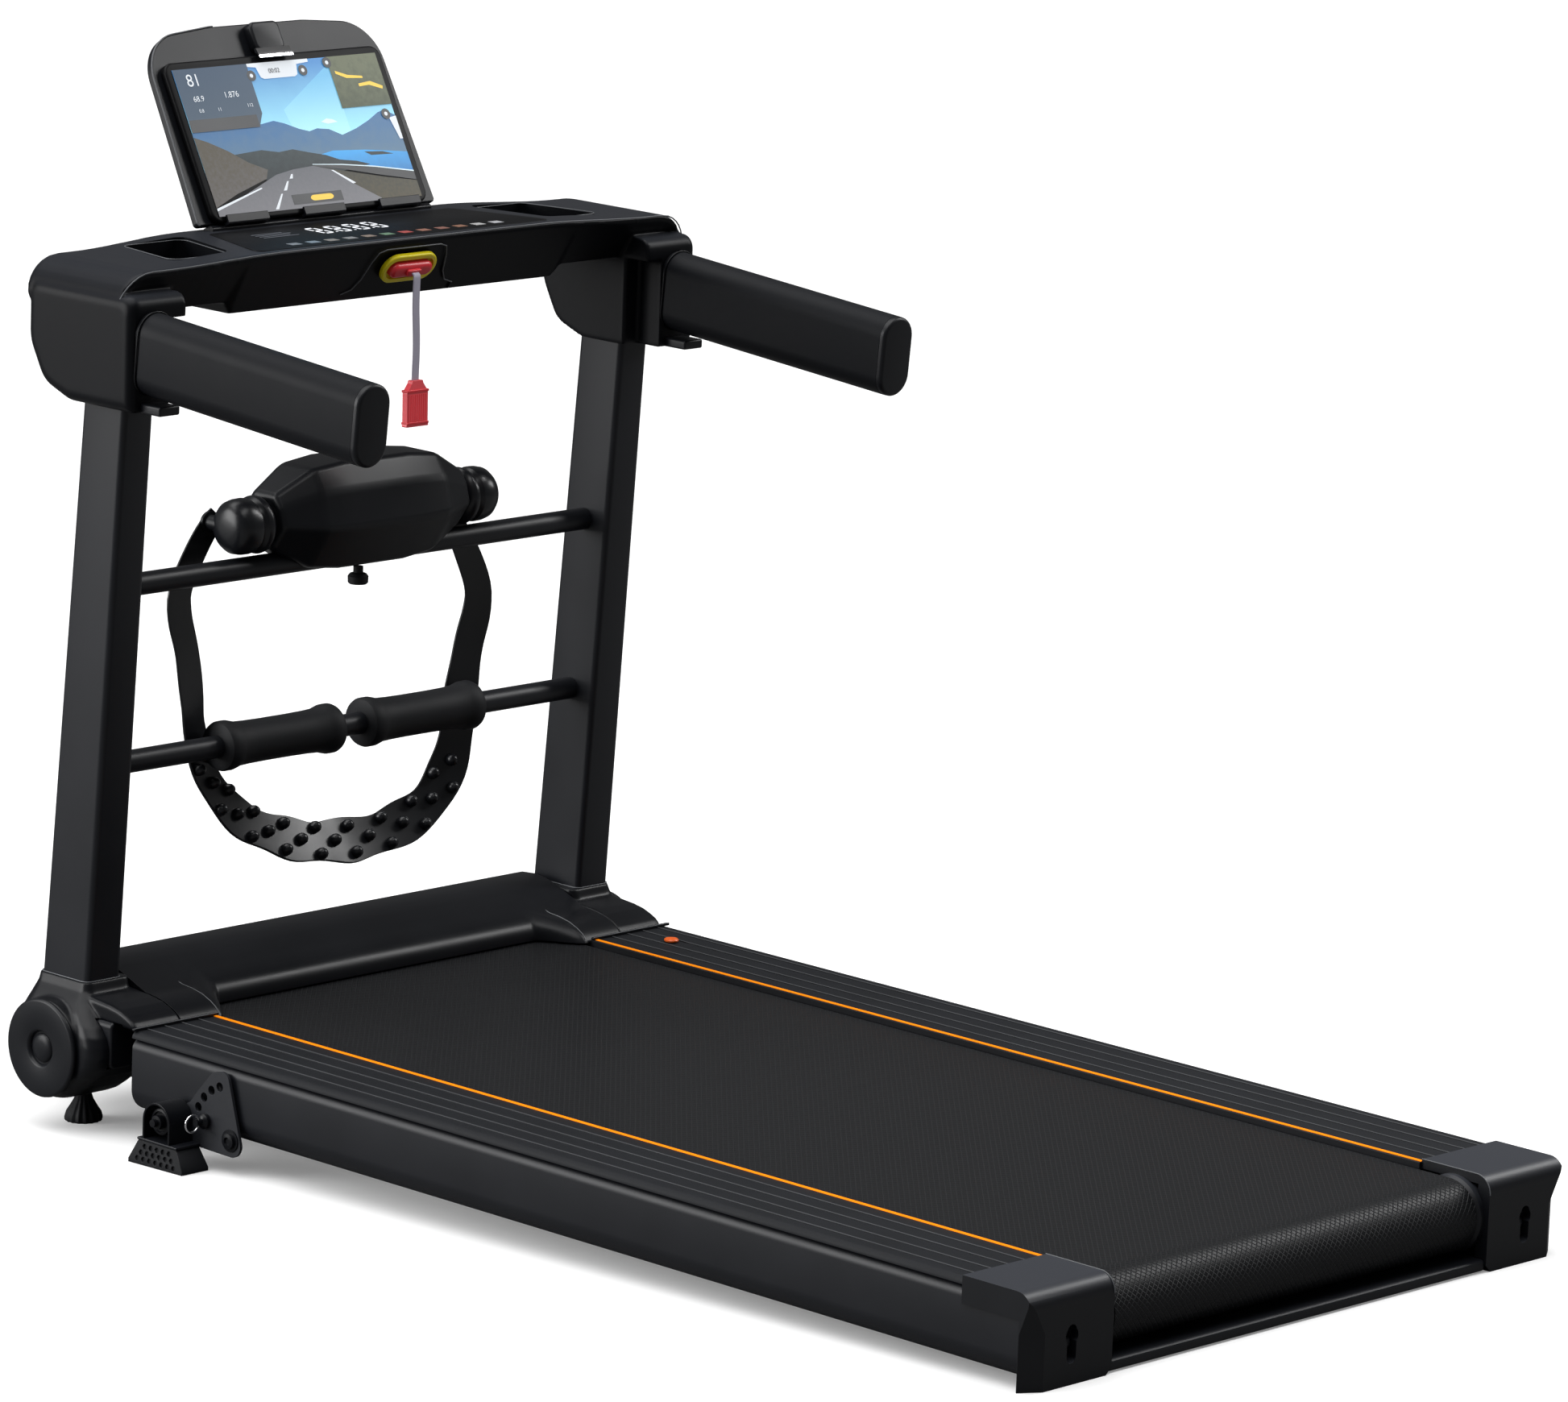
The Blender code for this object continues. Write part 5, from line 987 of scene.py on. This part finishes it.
def build_picture():
    """Road, lake and mountain scene with plain read-out panels."""
    sky = screen_shade("sky", (0.33, 0.72, 0.86), (0.055, 0.22, 0.5), 0.09, 0.165, grain=25, speckle=0.1)
    far = screen_shade("far_hills", (0.09, 0.17, 0.26), (0.035, 0.13, 0.3), 0.07, 0.115, grain=90,
                       speckle=0.35)
    near = screen_shade("near_hills", (0.012, 0.02, 0.024), (0.03, 0.045, 0.05), 0.05, 0.09, grain=160,
                        speckle=0.5)
    lake = screen_shade("lake", (0.03, 0.17, 0.42), (0.05, 0.34, 0.72), 0.045, 0.075, grain=120,
                        speckle=0.2)
    bank = screen_shade("bank", (0.095, 0.088, 0.085), (0.07, 0.062, 0.045), 0.03, 0.09, grain=260,
                        speckle=0.9)
    road = screen_shade("road", (0.17, 0.17, 0.185), (0.11, 0.115, 0.13), 0.015, 0.06, grain=300,
                        speckle=0.25)
    scrub = screen_shade("scrub", (0.06, 0.052, 0.03), (0.035, 0.035, 0.025), 0.015, 0.06, grain=300,
                         speckle=0.8)
    map_tone = screen_shade("map", (0.055, 0.07, 0.04), (0.1, 0.115, 0.065), 0.11, 0.165, grain=150,
                            speckle=0.9)
    veil = screen_shade("panel_shade", (0.055, 0.085, 0.12), (0.03, 0.06, 0.105), 0.1, 0.165, grain=20,
                        speckle=0.15)
    pale = finish("picture_white", (0.62, 0.66, 0.7), 0.4, bump=0.0, vary=0.05, emission=0.5)
    cloud = finish("picture_cloud", (0.6, 0.74, 0.8), 0.4, bump=0.0, vary=0.12, emission=0.5)
    track = finish("picture_track", (0.75, 0.5, 0.03), 0.4, bump=0.0, vary=0.05, emission=0.5)
    dark = finish("picture_dark", (0.015, 0.018, 0.022), 0.4, bump=0.0, vary=0.05, emission=0.3)
    patch("sky", [(0, 0), (1, 0), (1, 0.7), (0, 0.7)], sky, 1)
    patch("glow", [(0.47, 0.33), (0.72, 0.08), (0.76, 0.05), (0.76, 0.56), (0.5, 0.56)],
          screen_shade("glow", (0.42, 0.8, 0.88), (0.14, 0.42, 0.66), 0.085, 0.15, grain=25, speckle=0.08),
          2)
    ridge = [(0, 0.43), (0.08, 0.415), (0.187, 0.395), (0.24, 0.425), (0.295, 0.405), (0.34, 0.412),
             (0.403, 0.397),
             (0.45, 0.42), (0.514, 0.467), (0.56, 0.49), (0.6, 0.475), (0.657, 0.488), (0.7126, 0.535),
             (0.79, 0.5), (0.86, 0.455), (0.92, 0.405), (0.954, 0.392), (1.0, 0.435), (1, 0.75), (0, 0.75)]
    patch("far_hills", ridge, far, 3)
    patch("lake", [(0.57, 0.655), (0.64, 0.635), (0.8, 0.65), (0.952, 0.68), (1.0, 0.69), (1.0, 0.82),
                           (0.9, 0.8), (0.7, 0.76)], lake, 4)
    patch("point", [(0.79, 0.662), (0.88, 0.672), (0.93, 0.695), (0.82, 0.69)], near, 5)
    patch("near_hills", [(0.16, 0.6), (0.3, 0.585), (0.38, 0.61), (0.45, 0.6), (0.52, 0.63), (0.6, 0.66),
                                 (0.66, 0.7), (0.74, 0.72), (0.8, 0.75), (0.6, 0.79), (0.3, 0.8),
                                 (0.2, 0.74)], near, 6)
    patch("bank", [(0, 0.46), (0.06, 0.5), (0.14, 0.57), (0.22, 0.66), (0.3, 0.72), (0.28, 0.78),
                           (0.12, 0.86), (0, 0.94)], bank, 7)
    patch("scrub", [(0.56, 0.74), (0.72, 0.8), (0.86, 0.85), (1.0, 0.89), (1.0, 1.0), (0.8, 1.0),
                            (0.66, 0.86)], scrub, 7)
    patch("rail", [(0.52, 0.715), (0.66, 0.735), (0.82, 0.77), (1.0, 0.825), (1.0, 0.885), (0.82, 0.825),
                           (0.66, 0.765), (0.53, 0.73)], dark, 8)
    patch("rail_top", [(0.52, 0.712), (0.66, 0.731), (0.82, 0.766), (1.0, 0.82), (1.0, 0.828),
                               (0.82, 0.773), (0.66, 0.737), (0.52, 0.716)], cloud, 9)
    patch("road", [(0.0, 0.955), (0.16, 0.87), (0.33, 0.76), (0.42, 0.735), (0.52, 0.725), (0.6, 0.76),
                           (0.68, 0.86), (0.8, 0.985), (0.8, 1.0), (0.0, 1.0)], road, 10)
    patch("edge_left", [(0.0, 0.945), (0.24, 0.835), (0.245, 0.842), (0.0, 0.962)], pale, 11)
    patch("edge_right", [(0.6, 0.765), (0.61, 0.765), (0.7, 0.865), (0.685, 0.87)], pale, 11)
    for number, (low, high, x0, x1) in enumerate(((0.99, 0.89, 0.275, 0.325), (0.87, 0.81, 0.342, 0.372),
                                                  (0.795, 0.765, 0.388, 0.402))):
        patch(f"dash_{number}", [(x0, low), (x0 + 0.016, low), (x1 + 0.008, high), (x1, high)], pale, 11)
    patch("cloud", [(0.63, 0.435), (0.66, 0.415), (0.69, 0.425), (0.71, 0.445), (0.66, 0.452)], cloud, 4)
    patch("panel", [(0, 0), (0.36, 0), (0.36, 0.34), (0.33, 0.425), (0, 0.425)], veil, 12)
    patch("panel_row", [(0, 0.345), (0.33, 0.345), (0.33, 0.43), (0, 0.43)], dark, 13)
    patch("map", [(0.753, 0), (1, 0), (1, 0.358), (0.753, 0.358)], map_tone, 12)
    patch("track_a", [(0.775, 0.1), (0.83, 0.135), (0.9, 0.15), (0.9, 0.165), (0.82, 0.155),
                              (0.775, 0.12)], track, 13)
    patch("track_b", [(0.87, 0.2), (0.93, 0.19), (0.985, 0.23), (0.98, 0.25), (0.92, 0.215),
                              (0.87, 0.22)], track, 13)
    patch("timer", [(0.36, 0), (0.66, 0), (0.66, 0.022), (0.6, 0.03), (0.59, 0.1), (0.575, 0.112),
                            (0.425, 0.112), (0.41, 0.1), (0.4, 0.03), (0.36, 0.022)], pale, 12)
    patch("tab", [(0.965, 0.45), (1, 0.44), (1, 0.6), (0.985, 0.6)], pale, 12)
    patch("bar", [(0.37, 0.905), (0.615, 0.905), (0.615, 0.972), (0.37, 0.972)], dark, 13)
    pill = [(0.515 + a * 0.35, 0.938 + b * 0.35) for a, b in stadium(0.32, 0.11, 8)]
    patch("pill", pill, track, 14)
    for number, (s, d) in enumerate(((0.367, 0.083), (0.622, 0.076), (0.749, 0.039), (0.955, 0.422))):
        ring = [(s + a, d + b * 1.75) for a, b in arc((0, 0), 0.021, 0, 345, 23)]
        patch(f"button_{number}", ring, dark, 14)
        dot = [(s + a, d + b * 1.75) for a, b in arc((0, 0), 0.008, 0, 330, 11)]
        patch(f"button_dot_{number}", dot, pale, 15)
    read_outs = (("81", 0.05, 0.12, 0.0175), ("00:02", 0.455, 0.075, 0.0065),
                 ("1.876", 0.205, 0.215, 0.0085),
                 ("68.9", 0.055, 0.225, 0.008), ("0.8", 0.065, 0.3, 0.005), ("11", 0.155, 0.3, 0.005),
                 ("112", 0.3, 0.29, 0.005))
    for number, (text, s, d, size) in enumerate(read_outs):
        curve = bpy.data.curves.new(f"read_out_{number}", "FONT")
        curve.body = text
        curve.size = size
        curve.extrude = 0.00003
        curve.materials.append(dark if number == 1 else pale)
        item = show(f"read_out_{number}", curve)
        x, z = screen_point(s, d)
        item.matrix_world = HOLDER @ Matrix.Translation((x, SCREEN_Y - 0.0011, z)) @ Matrix.Rotation(
            math.radians(90), 4, "X")
        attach(item, "tablet_holder")


# ---------------------------------------------------------------- massager

def build_massager():
    y_mid, z_mid = 1.138, 0.443
    stations = ((-0.1215, 0.03, 0.026), (-0.08, 0.046, 0.048), (-0.042, 0.05, 0.052), (0.042, 0.05, 0.052),
                (0.08, 0.046, 0.048), (0.1215, 0.03, 0.026))
    rings = []
    for x, depth, height in stations:
        corners = [(-depth, -0.15 * height), (-0.45 * depth, -height), (0.45 * depth, -height),
                   (depth, -0.15 * height),
                   (0.8 * depth, 0.55 * height), (0.5 * depth, height), (-0.5 * depth, height),
                   (-0.8 * depth, 0.55 * height)]
        rings.append([(x, y_mid + a, z_mid + b) for a, b in corners])
    piece("massager", loft(rings), PLASTIC, "uprights", "massager_body", bevel=0.005, segments=4, angle=10)
    for side, word in SIDES:
        profile = [(0.0, 0.1219), (0.0195, 0.1219), (0.0205, 0.125), (0.025, 0.1275), (0.0272, 0.13),
                   (0.0277, 0.133), (0.0268, 0.1362), (0.0235, 0.1385), (0.0228, 0.14), (0.024, 0.1415),
                   (0.0262, 0.1435), (0.0268, 0.147), (0.0266, 0.154), (0.0252, 0.1605), (0.0215, 0.1655),
                   (0.015, 0.1685), (0.008, 0.1695), (0.0, 0.1697)]
        drum = lathe([(r, side * x) for r, x in profile], "X", (y_mid, z_mid - 0.003), 56)
        piece(f"drum_{word}", drum, GLOSSY, f"massager_drum_{word}", f"massager_drum_{word}")
        stud = lathe([(0.0, 1.142), (0.0075, 1.142), (0.0075, 1.169), (0.0105, 1.1692), (0.0105, 1.1722),
                      (0.0, 1.1722)], "Y", (side * 0.16, z_mid - 0.003), 24)
        piece(f"belt_stud_{word}", stud, PLASTIC, "massage_belt")
    knob = lathe([(0.0, 0.369), (0.0085, 0.369), (0.0098, 0.3705), (0.01, 0.3765), (0.008, 0.379),
                  (0.0048, 0.38), (0.0048, 0.386), (0.0, 0.386)], "Z", (0.0, 1.135), 32)
    piece("knob", knob, RUBBER, "clamp_knob", "clamp_knob")


def resample(points, count):
    """Evenly spaced points on a smooth curve through the given ones."""
    dense = []
    padded = [points[0]] + list(points) + [points[-1]]
    for index in range(1, len(padded) - 2):
        p0, p1, p2, p3 = (Vector(p) for p in padded[index - 1:index + 3])
        for step in range(12):
            t = step / 12
            dense.append(0.5 * ((2 * p1) + (p2 - p0) * t + (2 * p0 - 5 * p1 + 4 * p2 - p3) * t ** 2
                                + (3 * p1 - p0 - 3 * p2 + p3) * t ** 3))
    dense.append(Vector(points[-1]))
    lengths = [0.0]
    for a, b in zip(dense, dense[1:]):
        lengths.append(lengths[-1] + (b - a).length)
    result = []
    index = 0
    for step in range(count):
        target = lengths[-1] * step / (count - 1)
        while index < len(lengths) - 2 and lengths[index + 1] < target:
            index += 1
        share = (target - lengths[index]) / (lengths[index + 1] - lengths[index])
        result.append(dense[index].lerp(dense[index + 1], share))
    return result


def build_massage_belt():
    """Flat straps that widen into a studded pad. Columns: x, y, z, width, tilt of the pad."""
    half = [(-0.15, 1.1715, 0.432, 0.02, 0.0), (-0.172, 1.1715, 0.402, 0.022, 0.0),
            (-0.193, 1.1715, 0.362, 0.023, 0.0), (-0.194, 1.1715, 0.335, 0.023, 0.0),
            (-0.184, 1.1715, 0.3, 0.023, 0.0), (-0.176, 1.1715, 0.255, 0.025, 0.0),
            (-0.172, 1.171, 0.222, 0.032, 0.2), (-0.158, 1.168, 0.18, 0.04, 0.7),
            (-0.124, 1.164, 0.142, 0.043, 1.0), (-0.075, 1.1625, 0.121, 0.044, 1.0),
            (-0.03, 1.1625, 0.113, 0.044, 1.0), (0.0, 1.1625, 0.112, 0.044, 1.0)]
    whole = half + [(-x, y, z, width, tilt) for x, y, z, width, tilt in reversed(half[:-1])]
    line_points = resample([(x, y, z - 0.1 * x) for x, y, z, _, _ in whole], 121)
    extras = resample([(width, tilt, 0.0) for _, _, _, width, tilt in whole], 121)
    rings = []
    bases = []
    for index, (point, extra) in enumerate(zip(line_points, extras)):
        before = line_points[max(0, index - 1)]
        after = line_points[min(120, index + 1)]
        along = (after - before).normalized()
        inward = Vector((-along.z, 0, along.x)).normalized()
        lean = Vector((0, 0.62 * extra.y, 0))
        across = (inward + lean).normalized()
        wave = 1 + 0.1 * extra.y * math.sin(index * 0.62)
        reach = across * extra.x / 2 * wave
        normal = along.cross(across).normalized()
        if normal.y > 0:
            normal = -normal
        bases.append((point, across, normal, extra.x))
        thick = 0.0011 + 0.0007 * extra.y
        rings.append([tuple(point + reach * u + normal * thick * v)
                      for u, v in ((-1, -1), (-0.5, -1), (0, -1), (0.5, -1), (1, -1), (1, 1), (0.5, 1),
                                   (0, 1),
                                   (-0.5, 1), (-1, 1))])
    strap = loft(rings)
    piece("belt_strap", strap, GLOSSY, "massage_belt", "massage_belt", bevel=0.0006, segments=2)
    for row, offset in enumerate((-0.32, 0.0, 0.32)):
        for index in range(34 + 3 * (row % 2), 88, 6):
            point, across, normal, width = bases[index]
            spot = point + across * width * offset
            stud = lathe([(0.0, -0.0005), (0.0058, 0.0), (0.006, 0.004), (0.0052, 0.007), (0.0034, 0.0092),
                          (0.0014, 0.0101), (0.0, 0.0102)], "Z", (0, 0), 14)
            turn = Vector((0, 0, 1)).rotation_difference(normal).to_matrix().to_4x4()
            stud.transform(Matrix.Translation(spot) @ turn)
            piece(f"belt_node_{row}_{index}", stud, GLOSSY, "massage_belt")


def build_foam_rollers():
    for side, word in SIDES:
        shape = [(0.0108, 0.0182), (0.019, 0.0182), (0.0228, 0.0198), (0.024, 0.0225), (0.024, 0.03),
                 (0.0229, 0.0345), (0.0214, 0.04), (0.0207, 0.055), (0.0204, 0.075), (0.0204, 0.109),
                 (0.0207, 0.129), (0.0214, 0.144), (0.0229, 0.1495), (0.024, 0.154), (0.024, 0.1615),
                 (0.0228, 0.1642), (0.019, 0.1658), (0.0108, 0.1658)]
        roll = lathe([(r, side * x) for r, x in shape], "X", LOWER_BAR, 48)
        piece(f"foam_{word}", roll, RUBBER, f"foam_roller_{word}", f"foam_roller_{word}")


# ---------------------------------------------------------------- incline legs

def floor_at(y):
    return -(FLOOR_DROP + y * math.sin(SLOPE)) / math.cos(SLOPE)


def around(centre, radius, angle):
    return centre[0] + radius * math.cos(angle), centre[1] + radius * math.sin(angle)


def build_legs():
    for side, word in SIDES:
        body = f"incline_leg_{word}"
        near, far = side * 0.353, side * 0.356
        outline = rounded([(0.8885, -0.089), (0.9125, -0.0095), (0.932, -0.0135), (0.9515, -0.035),
                           (0.962, -0.048), (0.985, -0.058), (0.985, -0.087)],
                          (0.012, 0.01, 0.012, 0.02, 0.012, 0.004, 0.004), 10)
        plate = extrude(outline, "X", *sorted((near, far)))
        for degrees in (71, 57, 42, 27):
            spot = around(LEG_PIVOT, 0.05, math.radians(degrees))
            hole = extrude(arc(spot, 0.0044, 0, 345, 23), "X", *sorted((side * 0.35, side * 0.36)))
            plate = combine(plate, hole)
        piece(f"leg_plate_{word}", plate, LEG_PAINT, body, f"incline_leg_{word}", bevel=0.0006)
        wheel_y = LEG_WHEEL[0]
        hoop = [(wheel_y - 0.0185, -0.0845)] + arc(LEG_WHEEL, 0.0185, 180, 0, 24)
        hoop += [(wheel_y + 0.0185, -0.0845), (wheel_y + 0.0163, -0.0845)]
        hoop += arc(LEG_WHEEL, 0.0163, 0, 180, 24)
        hoop += [(wheel_y - 0.0163, -0.0845)]
        piece(f"leg_hoop_{word}", extrude(hoop, "X", *sorted((side * 0.356, side * 0.385))), SATIN, body,
              bevel=0.0006)
        shelf = box(side * 0.354, side * 0.3855, 0.947, 1.001, -0.0865, -0.084)
        piece(f"leg_shelf_{word}", shelf, PAINT, body, bevel=0.0008)
        bolt = lathe([(r, side * x) for r, x in ((0.0, 0.3555), (0.0105, 0.3555), (0.0105, 0.3572),
                                                 (0.0075, 0.3574),
                                                 (0.0072, 0.3602), (0.004, 0.3608), (0.0034, 0.359),
                                                 (0.0, 0.359))],
                     "X", LEG_PIVOT, 32)
        piece(f"leg_bolt_{word}", bolt, SATIN, body)
        roll = [(0.0, 0.3575), (0.004, 0.3575), (0.004, 0.36), (0.0122, 0.36), (0.0134, 0.3615),
                (0.0134, 0.3775), (0.0122, 0.3795), (0.01, 0.38), (0.0092, 0.3785), (0.0068, 0.3785),
                (0.0066, 0.3848), (0.0038, 0.3852), (0.0036, 0.3895), (0.0, 0.3897)]
        piece(f"wheel_{word}", lathe([(r, side * x) for r, x in roll], "X", LEG_WHEEL, 40), SATIN,
              f"leg_wheel_{word}", f"leg_wheel_{word}")
        middle = 0.974
        rings = []
        for half_y, half_x, rise in ((0.037, 0.0165, 0.0), (0.037, 0.0165, 0.0035), (0.0262, 0.014, None)):
            ring = []
            for turn_x, turn_y in ((-1, -1), (1, -1), (1, 1), (-1, 1)):
                y = middle + turn_y * half_y
                z = -0.0868 if rise is None else floor_at(y) + rise
                ring.append((side * 0.3705 + turn_x * half_x, y, z))
            rings.append(ring)
        pad = loft(rings)
        low = floor_at(middle)
        for row in range(3):
            rise = 0.005 + row * 0.006
            count = 7 - row
            for column in range(count):
                y = middle + (column - (count - 1) / 2) * 0.0083
                face = 0.387 - 0.0025 * (rise - 0.0035) / 0.0175
                dimple = extrude(arc((y, low + rise), 0.0027, 0, 300, 5), "X",
                                 *sorted((side * (face - 0.0018), side * (face + 0.004))))
                pad = combine(pad, dimple)
        piece(f"rubber_pad_{word}", pad, RUBBER, body, f"foot_pad_{word}", bevel=0.0005, segments=2,
              angle=60)
        spot = around(LEG_PIVOT, PIN_RADIUS, PIN_ANGLE)
        pin = lathe([(r, side * x) for r, x in ((0.0, 0.3506), (0.0034, 0.3506), (0.0034, 0.3566),
                                                (0.007, 0.3566),
                                                 (0.0072, 0.36), (0.006, 0.3615), (0.0034, 0.3625),
                                                 (0.0034, 0.369),
                                                 (0.0, 0.369))], "X", spot, 28)
        piece(f"pin_{word}", pin, SATIN, f"pull_pin_{word}", f"pull_pin_{word}")
        ring = [(side * 0.3735 + a, spot[0] - 0.001, spot[1] + b) for a,
                b in arc((0, 0), 0.008, 0, 350, 35)]
        line(f"pin_ring_{word}", ring, 0.0011, CHROME, f"pull_pin_{word}", closed=True)


# ---------------------------------------------------------------- studio

def dress_frame():
    """Procedural finishes for the CAD nodes that stay in view."""
    looks = {"black_coated_steel": PAINT, "black_plastic": PLASTIC, "black_rubber": RUBBER,
             "walking_belt": BELT,
             "bright_steel": STEEL, "display_glass": GLASS, "circuit_board": CIRCUIT, "deck_wood": BOARD,
             "yellow_plastic": YELLOW, "red_plastic": RED, "orange_plastic": PLUG, "grey_webbing": STRAP}
    for name, item in frame["nodes"].items():
        item.data.materials.clear()
        item.data.materials.append(looks[SLOTS[name]])


def build_studio():
    floor_mesh = bmesh.new()
    bmesh.ops.create_grid(floor_mesh, x_segments=1, y_segments=1, size=30)
    pale = finish("studio_white", FLOOR_SEEN, 0.9, grain=20, bump=0.0, vary=0.0, specular=0.0)
    tree = pale.node_tree
    shader = tree.nodes["Principled BSDF"]
    rays = node(tree, "LightPath")
    seen = colour_mix(tree, FLOOR_LIT, FLOOR_SEEN)
    tree.links.new(rays.outputs["Is Camera Ray"], seen.inputs[0])
    tree.links.new(seen.outputs[2], shader.inputs["Base Color"])
    shader.inputs["Emission Color"].default_value = (1, 1, 1, 1)
    glow = calculate(tree, "MULTIPLY", rays.outputs["Is Camera Ray"], FLOOR_GLOW)
    tree.links.new(glow, shader.inputs["Emission Strength"])
    data = mesh_data("studio_floor", floor_mesh)
    data.materials.append(pale)
    show("studio_floor", data)
    world = bpy.data.worlds.new("studio")
    world.use_nodes = True
    tree = world.node_tree
    rays = node(tree, "LightPath")
    strength = node(tree, "MapRange", {"To Min": BACKDROP_LIT, "To Max": BACKDROP_SEEN})
    tree.links.new(rays.outputs["Is Camera Ray"], strength.inputs["Value"])
    tree.links.new(strength.outputs["Result"], tree.nodes["Background"].inputs["Strength"])
    tree.nodes["Background"].inputs["Color"].default_value = (1, 1, 1, 1)
    bpy.context.scene.world = world
    bpy.context.scene.view_settings.view_transform = "Standard"
    sky = bpy.data.lights.new("overhead", "SUN")
    sky.energy = SUN_ENERGY
    sky.angle = math.radians(70)
    show("overhead", sky).rotation_euler = Vector(SUN_AIM).to_track_quat("-Z", "Y").to_euler()
    for name, place, target, size, power in LIGHTS:
        light = bpy.data.lights.new(name, "AREA")
        light.shape = "RECTANGLE"
        light.size, light.size_y = size
        light.energy = power
        item = show(name, light)
        item.location = place
        aim = Vector(target) - Vector(place)
        item.rotation_euler = aim.to_track_quat("-Z", "Y").to_euler()


def build_camera():
    """Camera fitted in the machine frame, carried to the floor's frame by MACHINE."""
    azimuth, elevation = math.radians(CAMERA["azimuth"]), math.radians(CAMERA["elevation"])
    view = Vector((-math.sin(azimuth) * math.cos(elevation), math.cos(azimuth) * math.cos(elevation),
                   -math.sin(elevation)))
    flat_right = view.cross(Vector((0, 0, 1))).normalized()
    flat_up = flat_right.cross(view)
    roll = math.radians(CAMERA["roll"])
    right = math.cos(roll) * flat_right + math.sin(roll) * flat_up
    up = -math.sin(roll) * flat_right + math.cos(roll) * flat_up
    place = -(CAMERA["shift_right"] * right + CAMERA["shift_up"] * up + CAMERA["distance"] * view)
    matrix = Matrix((right, up, -view)).transposed().to_4x4()
    matrix.translation = place
    lens = bpy.data.cameras.new("camera")
    lens.sensor_width = 36.0
    lens.lens = CAMERA["focal_px"] * 36.0 / CAMERA["width_px"]
    lens.clip_end = 100
    camera = show("camera", lens)
    camera.matrix_world = MACHINE @ matrix
    bpy.context.scene.camera = camera


build_camera()
dress_frame()
build_lanyard()
build_rails()
build_belt()
build_end_caps()
build_hood()
build_posts()
build_hinges()
build_feet()
build_console()
build_display_marks()
build_handlebars()
build_safety_key()
build_tablet()
build_massager()
build_massage_belt()
build_foam_rollers()
build_legs()
build_studio()
